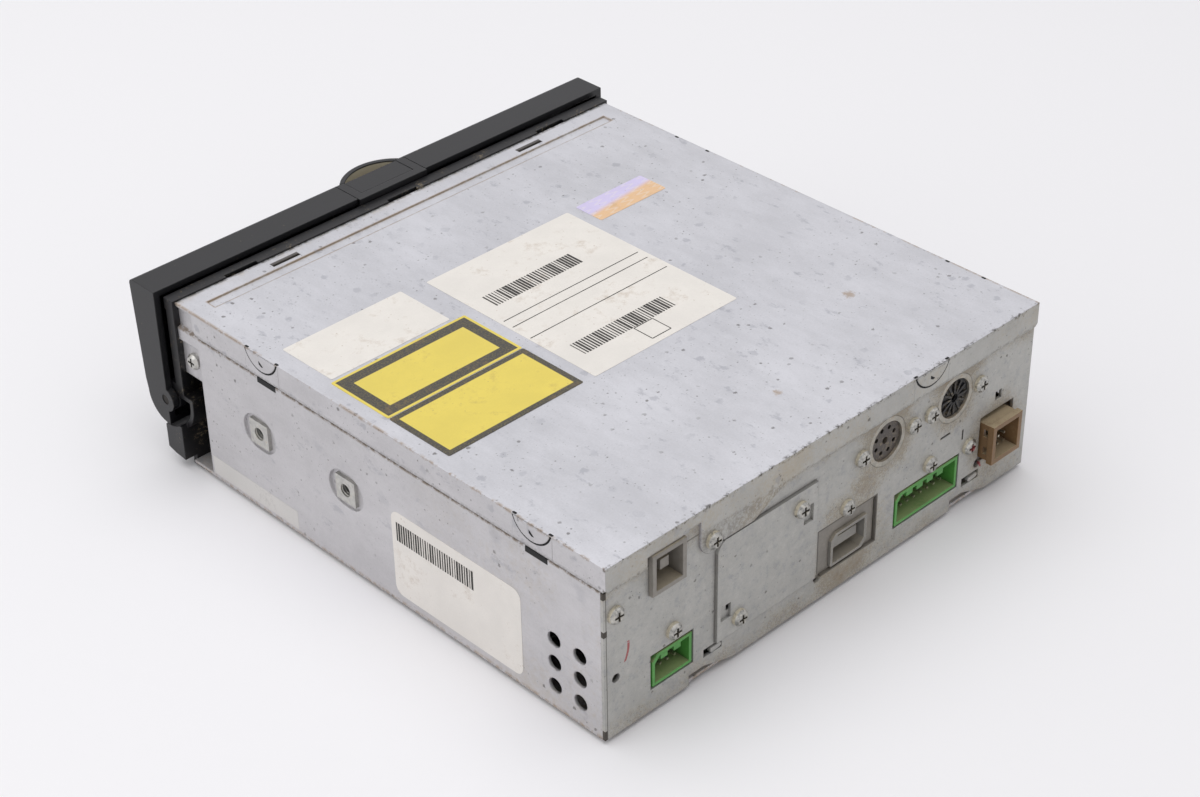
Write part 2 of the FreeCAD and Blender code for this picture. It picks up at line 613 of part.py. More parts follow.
floor_top = sheet_gauge
rear_inner = case_depth - sheet_gauge
lid_under = case_height - sheet_gauge
covered_outer = half_width - sheet_gauge - fold_gap
covered_inner = covered_outer - sheet_gauge
wall_inner = half_width - sheet_gauge
joggle_low = seam_height - seam_gap - sheet_gauge


def side_wall(label, side):
    """Side wall: upright sheet, stepped in where the lid's skirt covers it."""
    outline = [
        (wall_inner * side, floor_top * 0),
        (half_width * side, floor_top * 0),
        (half_width * side, seam_height - seam_gap),
        (covered_outer * side, seam_height),
        (covered_outer * side, lid_under - fold_gap),
        (covered_inner * side, lid_under - fold_gap),
        (covered_inner * side, joggle_low),
        (wall_inner * side, joggle_low),
    ]
    return prism("base_wall_" + label, "xz", outline, (0, rear_inner))


def front_cutout(label, side):
    """The front of a side wall, cut away below the ear."""
    return block("base_front_" + label, side_span(side, wall_inner - 5, half_width + 1),
                 (-1, ear_depth), (floor_top, ear_height))


def screw_tab(label, side):
    """Inset tab that takes the frame's side screw."""
    plate = block("base_tab_" + label, side_span(side, covered_inner, covered_outer),
                  (0, ear_depth + sheet_gauge), (tab_height, ear_height))
    step = block("base_tab_step_" + label, side_span(side, covered_inner, half_width),
                 (ear_depth, ear_depth + sheet_gauge), (tab_height, ear_height))
    return fuse("base_tab_whole_" + label, plate, step)


def tab_hole(label, side):
    """Clearance hole of the side screw."""
    return rod("base_tab_hole_" + label, "x", (tab_screw_y, tab_screw_z),
               side_span(side, covered_inner - 1, half_width + 1), shank_radius + 0.2)


def oval(name, side, middle_y, reach, grow):
    """An upright oval across a side wall, at a side nut."""
    half_tall = dimple_tall / 2 + grow
    half_run = (dimple_long - dimple_tall) / 2
    corners = [
        (middle_y - half_run, nut_z - half_tall),
        (middle_y + half_run, nut_z - half_tall, half_tall, 1),
        (middle_y + half_run + half_tall, nut_z, half_tall, 1),
        (middle_y + half_run, nut_z + half_tall),
        (middle_y - half_run, nut_z + half_tall, half_tall, 1),
        (middle_y - half_run - half_tall, nut_z, half_tall, 1),
    ]
    return prism(name, "yz", corners, side_span(side, *reach))


def nut_places():
    """Y of the side nuts."""
    return [nut_y, nut_y + nut_pitch]


def dimple_pads(label, side):
    """The pressed-in metal of the oval dimples, on the inside of the wall."""
    reach = (wall_inner - dimple_depth, wall_inner + sheet_gauge / 4)
    return [oval("base_pad_%s_%d" % (label, n), side, y, reach, 0)
            for n, y in enumerate(nut_places())]


def dimple_cuts(label, side):
    """The hollow of each dimple and the collar hole of its nut."""
    made = []
    for number, y in enumerate(nut_places()):
        mark = "%s_%d" % (label, number)
        reach = (half_width - dimple_depth, half_width + 1)
        made.append(oval("base_dimple_" + mark, side, y, reach, -sheet_gauge / 2))
        made.append(rod("base_nut_hole_" + mark, "x", (y, nut_z),
                        side_span(side, wall_inner - 4, half_width + 1), nut_collar + 0.1))
    return made


def vents(label, side):
    """Two columns of three round vents."""
    made = []
    for column in range(2):
        for line in range(3):
            made.append(rod("base_vent_%s_%d%d" % (label, column, line), "x",
                            (vent_y + vent_pitch_y * column, vent_z + vent_pitch_z * line),
                            side_span(side, wall_inner - 1, half_width + 1), vent_radius))
    return made


def foot_spots():
    """Middle of each pressed foot."""
    return [(foot_across * side, y) for side in (1, -1) for y in (foot_front, foot_rear)]


def standoff_spots():
    """Middle of each pressed stand-off that carries the main board."""
    return [(board_hole_x * side, y) for side in (1, -1) for y in (board_hole_front, board_hole_rear)]


def make_chassis_base():
    """Floor and both side walls, pressed from one sheet."""
    floor = block("base_floor", (-wall_inner, wall_inner), (0, rear_inner), (0, floor_top))
    shell = fuse("base_shell", floor, *both_sides(side_wall))
    shell = cut("base_shell_cut", shell, *both_sides(front_cutout))
    added = both_sides(screw_tab)
    taken = both_sides(tab_hole)
    for label, side in (("left", 1), ("right", -1)):
        added += dimple_pads(label, side)
        taken += dimple_cuts(label, side) + vents(label, side)
    for number, place in enumerate(foot_spots()):
        added.append(taper("base_foot_%d" % number, "z", place, (-foot_height, 0),
                           foot_radius - foot_height, foot_radius))
        taken.append(taper("base_foot_hollow_%d" % number, "z", place,
                           (sheet_gauge - foot_height, floor_top),
                           foot_radius - foot_height - sheet_gauge, foot_radius - sheet_gauge / 2))
    for number, place in enumerate(standoff_spots()):
        added.append(rod("base_standoff_%d" % number, "z", place,
                         (0, floor_top + standoff_height), standoff_radius))
        taken.append(rod("base_standoff_hole_%d" % number, "z", place,
                         (-1, floor_top + standoff_height + 1), screw_hole))
    whole = fuse("base_whole", shell, *added)
    piece("chassis_base", cut("chassis_base", whole, *taken))


def rear_window(name, window, grow=0.0):
    """A rectangular opening through the rear wall."""
    return block(name, window.across(grow), (rear_inner - 1, case_depth + 3), window.upright(grow))


def round_spots():
    """X of the two round sockets."""
    return [round_socket_x, round_socket_x - round_socket_pitch]


def wall_screw_spots():
    """X and Z of every screw whose head sits on the rear wall itself."""
    spots = [(screw_corner_x, screw_corner_z), (screw_narrow_x, screw_narrow_z),
             (screw_ribbon_x, screw_ribbon_z), (screw_wide_left_x, screw_wide_left_z),
             (screw_wide_right_x, screw_wide_right_z)]
    for x in round_spots():
        spots += [(x + round_ear, round_socket_z), (x - round_ear, round_socket_z)]
    return spots


def access_screw_spots():
    """X and Z of the two screws of the access plate."""
    return [(screw_access_low_x, screw_access_low_z), (screw_access_high_x, screw_access_high_z)]


def make_rear_plate():
    """Rear wall: one sheet with an opening for each socket."""
    sheet_part = block("rear_sheet", (-half_width, half_width), (rear_inner, case_depth),
                       (0, lid_under - fold_gap))
    corners = [block("rear_corner_" + label, side_span(side, covered_outer, half_width + 1),
                     (rear_inner - 1, case_depth + 1), (seam_height - seam_gap, case_height))
               for label, side in (("left", 1), ("right", -1))]
    flange = block("rear_flange", (-flange_half, flange_half), (rear_inner - flange_depth, rear_inner),
                   (floor_top, floor_top + sheet_gauge))
    ears = [block("rear_ear_" + label, side_span(side, wall_inner - sheet_gauge, wall_inner),
                  (rear_inner - ear_flange, rear_inner), (floor_top + sheet_gauge, seam_height - 4))
            for label, side in (("left", 1), ("right", -1))]
    openings = corners + [
        rear_window("rear_narrow", narrow_green, panel_gap),
        rear_window("rear_wide", wide_green, panel_gap),
        rear_window("rear_ribbon", ribbon_hole),
        rear_window("rear_brown", brown_hole),
        rear_window("rear_grey", grey, fold_gap),
        rear_window("rear_service", service),
        rear_window("rear_hook_left", hook_left),
        rear_window("rear_hook_right", hook_right),
        rear_window("rear_pick", pick_hole),
        rear_window("rear_slit_flat", slit_flat),
        rear_window("rear_slit_tall", slit_tall),
    ]
    through = (rear_inner - 1, case_depth + 1)
    openings.append(rod("rear_spare_hole", "y", (spare_hole_x, spare_hole_z), through, spare_hole_radius))
    ribbon_corner = (ribbon_hole.across()[1], ribbon_hole.upright()[0])
    openings.append(rod("rear_relief_ribbon", "y", ribbon_corner, through, relief_radius))
    brown_corner = (brown_hole.across()[1], brown_hole.upright()[0])
    openings.append(rod("rear_relief_brown", "y", brown_corner, through, relief_radius))
    for number, x in enumerate(round_spots()):
        openings.append(rod("rear_round_%d" % number, "y", (x, round_socket_z), through,
                            round_socket_radius))
    for number, window in enumerate((wave_left, wave_right)):
        openings.append(wave("rear_wave_%d" % number, window))
    spots = wall_screw_spots() + access_screw_spots() + [(tab_screw_x, lid_screw_z)]
    for number, place in enumerate(spots):
        openings.append(rod("rear_screw_hole_%d" % number, "y", place, through, screw_hole))
    whole = fuse("rear_whole", sheet_part, flange, *ears)
    piece("rear_plate", cut("rear_plate", whole, *openings))


def wave(name, window):
    """A recess of the lower edge: square at its +X end and swept down at the other."""
    low_x, high_x = window.across()
    top = window.upright()[1]
    corners = [
        (low_x, -1),
        (high_x, -1),
        (high_x, top),
        (high_x - window.width / 3, top),
        (low_x, 0),
    ]
    return prism(name, "xz", corners, (rear_inner - 1, case_depth + 1))


def make_access_plate():
    """Raised plate over the service opening, one corner rounded."""
    low_x, high_x = access.across()
    low_z, high_z = access.upright()
    corners = [
        (low_x, low_z),
        (high_x, low_z),
        (high_x, high_z - access_round, access_round, 1),
        (high_x - access_round, high_z),
        (low_x, high_z),
    ]
    plate = prism("access_sheet", "xz", corners, (case_depth, case_depth + sheet_gauge))
    taken = [rear_window("access_sight_low", sight_low), rear_window("access_sight_high", sight_high)]
    for number, place in enumerate(access_screw_spots()):
        taken.append(rod("access_hole_%d" % number, "y", place,
                         (rear_inner - 1, case_depth + 3), screw_hole))
    piece("rear_access_plate", cut("rear_access_plate", plate, *taken))


def skirt(label, side):
    """Side skirt of the lid, its lower front corner rounded."""
    corners = [
        (skirt_front + skirt_round, seam_height),
        (case_depth, seam_height),
        (case_depth, case_height),
        (skirt_front, case_height),
        (skirt_front, seam_height + skirt_round, skirt_round, 1),
    ]
    return prism("lid_skirt_" + label, "yz", corners, side_span(side, wall_inner, half_width))


def snap_cuts(name, axis, middle, reach):
    """The half-round slit of a snap tab, left whole at its top, and its small square hole."""
    def at(across, height):
        return (across, height)

    ring = rod(name + "_ring", axis, at(middle, seam_height), reach, snap_radius)
    core = rod(name + "_core", axis, at(middle, seam_height), reach, snap_radius - snap_slit)
    slit = cut(name + "_slit", ring, core)
    bridge_span = (middle - snap_radius / 2, middle + snap_radius / 2)
    height = (seam_height + snap_radius / 2, seam_height + snap_radius * 2)
    hole_span = (middle - 1, middle + 1)
    hole_height = (seam_height + 4, seam_height + 5.2)
    if axis == "x":
        bridge = block(name + "_bridge", reach, bridge_span, height)
        hole = block(name + "_hole", reach, hole_span, hole_height)
    else:
        bridge = block(name + "_bridge", bridge_span, reach, height)
        hole = block(name + "_hole", hole_span, reach, hole_height)
    return [cut(name + "_open", slit, bridge), hole]


def make_top_cover():
    """Lid: top sheet, two side skirts, and a rear skirt with a screw tab."""
    top = block("lid_top", (-half_width, half_width), (0, case_depth + sheet_gauge),
                (lid_under, case_height))
    rear_reach = (case_depth, case_depth + sheet_gauge)
    tab_low = tab_screw_x - tab_width / 2
    tab_high = tab_screw_x + tab_width / 2
    access_left = access.across()[1]
    access_top = access.upright()[1]
    tab_half = tab_width / 2
    corners = [
        (-half_width + snap_slit * 2, seam_height),
        (lid_step_start, seam_height),
        (lid_step_end, access_top + fold_gap * 5),
        (tab_low, access_top + fold_gap * 5),
        (tab_low, tab_bottom + tab_half, tab_half, 1),
        (tab_high, tab_bottom + tab_half),
        (tab_high, lid_notch_top),
        (grey.across()[0] - lid_notch_side, lid_notch_top),
        (grey.across()[0] - lid_notch_side, grey.upright()[1] + fold_gap * 3),
        (grey.across()[1] + lid_notch_side, grey.upright()[1] + fold_gap * 3),
        (grey.across()[1] + lid_notch_side, seam_height),
        (half_width - snap_slit * 2, seam_height),
        (half_width, seam_height + 1),
        (half_width, case_height),
        (-half_width, case_height),
        (-half_width, seam_height + 1),
    ]
    rear = prism("lid_rear_skirt", "xz", corners, rear_reach)
    joins = [block("lid_rear_join_" + label, side_span(side, wall_inner, half_width),
                   (case_depth - sheet_gauge, case_depth + sheet_gauge), (seam_height + 1, case_height))
             for label, side in (("left", 1), ("right", -1))]
    taken = [block("lid_groove", (-groove_half, groove_half), (groove_front, groove_front + groove_width),
                   (case_height - groove_depth, case_height + 1))]
    for label, side in (("left", 1), ("right", -1)):
        span = side_span(side, lid_slot_x - lid_slot_length / 2, lid_slot_x + lid_slot_length / 2)
        taken.append(block("lid_slot_" + label, span, (lid_slot_y, lid_slot_y + lid_slot_width),
                           (lid_under - 1, case_height + 1)))
        reach = side_span(side, wall_inner - fold_gap / 2, half_width + 1)
        for number, y in enumerate((snap_front, snap_rear)):
            taken += snap_cuts("lid_snap_%s_%d" % (label, number), "x", y, reach)
    taken += snap_cuts("lid_snap_back", "y", snap_back_x,
                       (case_depth - fold_gap / 2, case_depth + sheet_gauge + 1))
    taken.append(rod("lid_tab_hole", "y", (tab_screw_x, lid_screw_z),
                     (case_depth - 1, case_depth + 3), screw_hole))
    whole = fuse("lid_whole", top, rear, *both_sides(skirt), *joins)
    piece("top_cover", cut("top_cover", whole, *taken))


def make_side_nuts():
    """Square nuts pressed into the dimples, tapped for the mounting brackets."""
    nuts = []
    for label, side in (("left", 1), ("right", -1)):
        for number, y in enumerate(nut_places()):
            mark = "%s_%d" % (label, number)
            half = nut_side / 2
            square = block("nut_square_" + mark,
                           side_span(side, half_width - dimple_depth, half_width + nut_lip),
                           (y - half, y + half), (nut_z - half, nut_z + half))
            collar = rod("nut_collar_" + mark, "x", (y, nut_z),
                         side_span(side, wall_inner - dimple_depth - nut_tail, wall_inner), nut_collar)
            bore = rod("nut_bore_" + mark, "x", (y, nut_z),
                       side_span(side, wall_inner - 6, half_width + 2), nut_bore)
            nuts.append(cut("nut_" + mark, fuse("nut_body_" + mark, square, collar), bore))
    piece("side_nuts", group("side_nuts", *nuts))


def pan_screw(name, axis, place, start, way, length):
    """A pan-head screw: start is the face under its head, way the side its head looks to."""
    if way > 0:
        head_reach = (start, start + head_height * 0.55)
        dome_reach = (start + head_height * 0.55, start + head_height)
        shank_reach = (start - length, start)
        recess_reach = (start + head_height - recess_depth, start + head_height + 1)
        dome = taper(name + "_dome", axis, place, dome_reach, head_radius, head_radius * 0.72)
    else:
        head_reach = (start - head_height * 0.55, start)
        dome_reach = (start - head_height, start - head_height * 0.55)
        shank_reach = (start, start + length)
        recess_reach = (start - head_height - 1, start - head_height + recess_depth)
        dome = taper(name + "_dome", axis, place, dome_reach, head_radius * 0.72, head_radius)
    head = rod(name + "_head", axis, place, head_reach, head_radius)
    shank = rod(name + "_shank", axis, place, shank_reach, shank_radius)
    arm = head_radius * 0.6
    wide = (-arm, arm)
    thin = (-recess_width / 2, recess_width / 2)
    arms = []
    for number, (first, second) in enumerate(((wide, thin), (thin, wide))):
        spans = {"x": [recess_reach, shift(place[0], first), shift(place[1], second)],
                 "y": [shift(place[0], first), recess_reach, shift(place[1], second)],
                 "z": [shift(place[0], first), shift(place[1], second), recess_reach]}[axis]
        arms.append(block("%s_arm_%d" % (name, number), *spans))
    return cut(name, fuse(name + "_body", head, dome, shank), *arms)


def shift(middle, span):
    """A span moved to a middle."""
    return as_size(middle) + span[0], as_size(middle) + span[1]


def make_rear_screws():
    """The twelve screws of the rear wall."""
    made = []
    for number, place in enumerate(wall_screw_spots()):
        made.append(pan_screw("rear_screw_%d" % number, "y", place, case_depth, 1, shank_length))
    raised = case_depth + sheet_gauge
    for number, place in enumerate(access_screw_spots() + [(tab_screw_x, lid_screw_z)]):
        made.append(pan_screw("raised_screw_%d" % number, "y", place, raised, 1, shank_length))
    piece("rear_screws", group("rear_screws", *made))


make_chassis_base()
make_rear_plate()
make_access_plate()
make_top_cover()
make_side_nuts()
make_rear_screws()

# Sockets

lower_board_top = floor_top + standoff_height + board_gauge
upper_board_top = upper_board_z + board_gauge


def keyed_outline(window, grow, chamfer):
    """A socket's outline with its top +X corner cut off."""
    low_x, high_x = window.across(grow)
    low_z, high_z = window.upright(grow)
    return [
        (low_x, low_z),
        (high_x, low_z),
        (high_x, high_z - chamfer),
        (high_x - chamfer, high_z),
        (low_x, high_z),
    ]


def moulded_socket(name, window, front, chamfer, board_top, ribs):
    """A moulded socket body with one open cavity, its foot on the board."""
    body = prism(name + "_body", "xz", keyed_outline(window, 0, chamfer), (socket_back, front))
    cavity = prism(name + "_cavity", "xz", keyed_outline(window, -socket_wall, chamfer),
                   (socket_floor, front + 1))
    low_x, high_x = window.across()
    foot = block(name + "_foot", (low_x + 1, high_x - 1), (socket_back, socket_floor),
                 (board_top, window.upright()[0]))
    made = fuse(name + "_solid", body, foot)
    made = cut(name + "_hollow", made, cavity)
    if not ribs:
        return made
    top = window.upright()[1]
    added = [block("%s_rib_%d" % (name, number), (x - wide / 2, x + wide / 2),
                   (socket_floor, front - socket_wall / 2),
                   (top - socket_wall - key_depth, top - socket_wall / 2))
             for number, (x, wide) in enumerate(ribs)]
    return fuse(name + "_keyed", made, *added)


def make_green_sockets():
    """The two green sockets, told apart by their key ribs."""
    ribs = [(key_first - key_pitch * number, key_width) for number in range(4)]
    wide = moulded_socket("wide_green", wide_green, case_depth, socket_chamfer, lower_board_top, ribs)
    piece("large_green_socket", group("large_green_socket", wide))
    ribs = [(narrow_green.x + side * narrow_green.width / 6, narrow_rib_width) for side in (1, -1)]
    narrow = moulded_socket("narrow_green", narrow_green, case_depth, socket_chamfer,
                            lower_board_top, ribs)
    piece("small_green_socket", group("small_green_socket", narrow))


def make_brown_socket():
    """Brown socket: stands out of the panel, with a collar and two side windows."""
    front = case_depth + brown_proud
    body = block("brown_body", brown.across(), (socket_back, front), brown.upright())
    collar = block("brown_collar_body", brown.across(brown_collar),
                   (front - brown_collar * 4, front), brown.upright(brown_collar))
    foot = block("brown_foot", brown.across(-1), (socket_back, socket_floor),
                 (lower_board_top, brown.upright()[0]))
    cavity = block("brown_cavity", brown.across(-socket_wall), (socket_floor, front + 1),
                   brown.upright(-socket_wall))
    taken = [cavity]
    for number, height in enumerate((brown.z - brown.height / 4, brown.z + brown.height / 4)):
        taken.append(block("brown_side_%d" % number,
                           (brown.across()[1] - socket_wall - 1, brown.across()[1] + 1),
                           (case_depth + socket_wall, front - brown_collar * 5),
                           (height - brown_window / 2, height + brown_window / 2)))
    whole = fuse("brown_whole", body, collar, foot)
    piece("brown_socket", cut("brown_socket", whole, *taken))


def make_grey_socket():
    """Grey socket on the upper board, with a post in its cavity."""
    front = case_depth + grey_proud
    body = block("grey_body", grey.across(), (socket_back, front), grey.upright())
    foot = block("grey_foot", grey.across(-1), (socket_back, socket_floor),
                 (upper_board_top, grey.upright()[0]))
    cavity = block("grey_cavity", grey.across(-socket_wall * 1.4), (socket_floor, front + 1),
                   grey.upright(-socket_wall * 1.4))
    post = block("grey_post", (grey.x - 1.6, grey.x + 1.6), (socket_floor, front - 2),
                 (grey.z - 1.0, grey.z + 2.2))
    whole = cut("grey_hollow", fuse("grey_whole", body, foot), cavity)
    piece("grey_socket", fuse("grey_socket", whole, post))


def d_outline(window, grow, bevel):
    """A shell outline with two opposite corners bevelled."""
    low_x, high_x = window.across(grow)
    low_z, high_z = window.upright(grow)
    return [
        (low_x + bevel, low_z),
        (high_x, low_z),
        (high_x, high_z - bevel),
        (high_x - bevel, high_z),
        (low_x, high_z),
        (low_x, low_z + bevel),
    ]


def make_ribbon_socket():
    """Ribbon socket: plated shell, black tongue and a holding frame behind the panel."""
    bevel = socket_chamfer
    shell = prism("ribbon_shell_body", "xz", d_outline(ribbon, 0, bevel), (socket_back, case_depth))
    inner = prism("ribbon_shell_inner", "xz", d_outline(ribbon, -socket_wall * 0.9, bevel),
                  (socket_back + socket_wall, case_depth + 1))
    foot = block("ribbon_foot", ribbon.across(-2), (socket_back, socket_floor),
                 (lower_board_top, ribbon.upright()[0]))
    piece("ribbon_socket_shell",
          cut("ribbon_socket_shell", fuse("ribbon_shell_whole", shell, foot), inner))
    blade = block("ribbon_tongue_blade", tongue.across(), (socket_back + socket_wall, case_depth - 1.5),
                  tongue.upright())
    piece("ribbon_socket_tongue", group("ribbon_socket_tongue", blade))
    low_x, high_x = ribbon_hole.across(-fold_gap)
    plate = block("ribbon_frame_plate", (low_x, high_x),
                  (rear_inner - sheet_gauge, rear_inner), ribbon_hole.upright(socket_wall))
    opening = prism("ribbon_frame_opening", "xz", d_outline(ribbon, fold_gap, bevel),
                    (rear_inner - 3, rear_inner + 1))
    piece("ribbon_socket_frame", cut("ribbon_socket_frame", plate, opening))


def make_round_sockets():
    """Two round sockets: plated rings with a flange, and insulating inserts."""
    rings = []
    inserts = []
    for number, x in enumerate(round_spots()):
        place = (x, round_socket_z)
        outer = rod("round_outer_%d" % number, "y", place, (socket_back, case_depth),
                    round_socket_radius - fold_gap)
        flange = block("round_flange_%d" % number, (x - round_flange_half, x + round_flange_half),
                       (rear_inner - round_flange_gauge, rear_inner),
                       (round_socket_z - round_flange_tall / 2, round_socket_z + round_flange_tall / 2))
        foot = block("round_foot_%d" % number, (x - 5, x + 5), (socket_back, socket_floor),
                     (upper_board_top, round_socket_z - round_insert_radius))
        inner = rod("round_inner_%d" % number, "y", place, (socket_floor, case_depth + 1),
                    round_insert_radius)
        holes = [rod("round_hole_%d_%d" % (number, way), "y", (x + round_ear * way, round_socket_z),
                     (rear_inner - 3, rear_inner + 1), screw_hole) for way in (1, -1)]
        whole = fuse("round_whole_%d" % number, outer, flange, foot)
        rings.append(cut("round_ring_%d" % number, whole, inner, *holes))
        inserts.append(make_insert(number, place))
    piece("round_socket_shells", group("round_socket_shells", *rings))
    piece("round_socket_inserts", group("round_socket_inserts", *inserts))


def make_insert(number, place):
    """Insert of a round socket: one has a field of holes, the other radial slots."""
    face = case_depth - round_recess
    body = rod("round_insert_%d" % number, "y", place, (socket_floor, face),
               round_insert_radius - fold_gap / 2)
    taken = []
    count = 8 if number == 0 else 6
    for step in range(count):
        angle = 2 * math.pi * step / count + math.pi / count
        reach = round_insert_radius * 0.64
        x = place[0] + reach * math.cos(angle)
        z = place[1] + reach * math.sin(angle)
        taken.append(rod("round_pin_%d_%d" % (number, step), "y", (x, z), (face - 4, face + 1), pin_side))
    key = rod("round_key_%d" % number, "y", (place[0], place[1]), (face - 5, face + 1), pin_side * 1.6)
    return cut("round_insert_body_%d" % number, body, key, *taken)


def pin_rows(name, window, columns, lines, front):
    """Rows of square contact pins on a socket's floor."""
    made = []
    low_x, high_x = window.across(-socket_wall * 2)
    low_z, high_z = window.upright(-socket_wall * 2)
    for column in range(columns):
        for line in range(lines):
            x = low_x + (high_x - low_x) * ((column + 0.5) / columns)
            z = low_z + (high_z - low_z) * ((line + 0.25) / lines)
            made.append(block("%s_pin_%d_%d" % (name, column, line), (x - pin_side / 2, x + pin_side / 2),
                              (socket_floor, front - pin_mouth), (z - pin_side / 2, z + pin_side / 2)))
    return made


def make_contacts():
    """Pins of the rectangular sockets."""
    made = pin_rows("contact_wide", wide_green, 8, 2, case_depth)
    made += pin_rows("contact_narrow", narrow_green, 4, 2, case_depth)
    made += pin_rows("contact_brown", brown, 3, 3, case_depth + brown_proud)
    piece("socket_contacts", group("socket_contacts", *made))


make_green_sockets()
make_brown_socket()
make_grey_socket()
make_ribbon_socket()
make_round_sockets()
make_contacts()

# Front: frame, flap, latch, hinge pins, felts and eject button


def root(value):
    """Square root of a length's formula."""
    value = as_size(value)
    return Size(math.sqrt(value.number), "sqrt(%s)" % value.formula)


def below_hinge(radius, y):
    """Height of the lower half of a circle about the hinge line, at a Y."""
    reach = as_size(y) - hinge_y
    return hinge_z - root(radius * radius - reach * reach)


def bumper_profile():
    """Section of the lower bumper: its top is hollowed for the flap's round edge."""
    hollow = hinge_round + bumper_gap
    front_start = bumper_front + bumper_chamfer
    return [
        (0, bumper_low),
        (0, below_hinge(hollow, bumper_top_rear)),
        (bumper_top_rear, below_hinge(hollow, bumper_top_rear), hollow, -1),
        (front_start, below_hinge(hollow, front_start)),
        (bumper_front, below_hinge(hollow, front_start) - bumper_chamfer),
        (bumper_front, bumper_low + 1.4),
        (bumper_front + 3.3, bumper_low + 0.5),
    ]


def trough_profile():
    """Section of the curved wall that the flap's lower edge swings into."""
    inner = hinge_round + bumper_gap
    outer = inner + trough_wall
    ledge = hinge_z + trough_ledge
    return [
        (hinge_y, hinge_z - outer, outer, 1),
        (hinge_y + outer, hinge_z),
        (hinge_y + outer, ledge + trough_wall),
        (fascia_rear - fascia_gauge, ledge + trough_wall),
        (fascia_rear - fascia_gauge, ledge),
        (hinge_y + inner, ledge),
        (hinge_y + inner, hinge_z, inner, -1),
        (hinge_y, hinge_z - inner),
    ]


def trough_space():
    """Section of the space that the flap's lower edge swings through."""
    inner = hinge_round + bumper_gap
    ledge = hinge_z + trough_ledge
    return [
        (hinge_y, hinge_z - inner, inner, 1),
        (hinge_y + inner, hinge_z),
        (hinge_y + inner, ledge),
        (hinge_y, ledge),
    ]


def make_bezel_frame():
    """Moulded frame round the case's front, with the fascia wall behind the flap."""
    half = frame_width / 2
    half_fascia = half - frame_side
    fascia_front = fascia_rear - fascia_gauge
    walls = [
        prism("frame_bumper", "yz", bumper_profile(), (-bumper_width / 2, bumper_width / 2)),
        block("frame_top_bar", (-half, half), (frame_front, 0), (frame_top - frame_side, frame_top)),
        block("frame_fascia", (-half, half), (fascia_front, fascia_rear),
              (bumper_low + 2, frame_top - frame_side)),
        block("frame_collar_front", (-wall_inner, wall_inner), (collar_front, 0),
              (-foot_height, bumper_low + 2)),
        block("frame_collar_lip", (-wall_inner, wall_inner), (0, collar_depth), (-foot_height, 0)),
    ]
    for label, side in (("left", 1), ("right", -1)):
        walls.append(block("frame_side_" + label, side_span(side, half_fascia, half),
                           (frame_front + 0.6, 0), (bumper_low + 2, frame_top)))
    space = prism("frame_trough_space", "yz", trough_space(), (-half - 1, half + 1))
    hollowed = cut("frame_hollowed", fuse("frame_walls", *walls), space)
    added = [hollowed, prism("frame_trough", "yz", trough_profile(), (-half, half))]
    taken = [
        block("frame_slot", (-slot_width / 2, slot_width / 2), (fascia_front - 1, fascia_rear + 1),
              (slot_low, slot_high)),
        button_shape("frame_button_hole", (fascia_front - 1, fascia_rear + 1), moving_gap),
    ]
    for label, side in (("left", 1), ("right", -1)):
        added.append(block("frame_lug_" + label, side_span(side, lug_inner, covered_inner - fold_gap),
                           (fascia_rear - 1, lug_depth), (tab_height + 2, ear_height - 1)))
        hinge_span = side_span(side, half - hinge_lug_gauge, half)
        added.append(rod("frame_hinge_lug_" + label, "x", (hinge_y, hinge_z), hinge_span, hinge_lug))
        added.append(block("frame_hinge_arm_" + label, hinge_span, (hinge_y, frame_front + 1.2),
                           (hinge_z + trough_ledge, hinge_z + hinge_lug + 2)))
        taken.append(rod("frame_hinge_hole_" + label, "x", (hinge_y, hinge_z),
                         side_span(side, half - 5, half + 1), hinge_pin_radius))
        taken.append(rod("frame_screw_hole_" + label, "x", (tab_screw_y, tab_screw_z),
                         side_span(side, lug_inner - 1, half), shank_radius))
        added.append(rod("frame_boss_" + label, "y",
                         (button_x + (front_board_half - boss_radius) * side, button_z),
                         (fascia_rear - 0.5, front_board_y), boss_radius))
    for number, x in enumerate((frame_width * 0.355, 0, -frame_width * 0.355)):
        taken.append(block("frame_clip_%d" % number, (x - window_notch / 2, x + window_notch / 2),
                           (-1.2, 1), (case_height - 1.5, frame_top + 1)))
    piece("bezel_frame", cut("bezel_frame", fuse("frame_whole", *added), *taken))


def button_shape(name, reach, grow):
    """The eject button's outline: rounded at both ends."""
    half_tall = button_height / 2 + grow
    half_run = button_width / 2 - button_height / 2
    corners = [
        (button_x - half_run, button_z - half_tall),
        (button_x + half_run, button_z - half_tall, half_tall, 1),
        (button_x + half_run + half_tall, button_z, half_tall, 1),
        (button_x + half_run, button_z + half_tall),
        (button_x - half_run, button_z + half_tall, half_tall, 1),
        (button_x - half_run - half_tall, button_z, half_tall, 1),
    ]
    return prism(name, "xz", corners, reach)


def flap_outline(inset, rear):
    """Section of the flap. The lower round is concentric with the hinge line."""
    round_radius = hinge_round - inset
    return [
        (rear, below_hinge(round_radius, rear)),
        (rear, flap_top - inset),
        (flap_front + flap_fillet + inset, flap_top - inset, flap_fillet, 1),
        (flap_front + inset, flap_top - inset - flap_fillet),
        (flap_front_low + inset, hinge_z + 4),
        (hinge_y - round_radius, hinge_z, round_radius, 1),
        (hinge_y, hinge_z - round_radius, round_radius, 1),
    ]


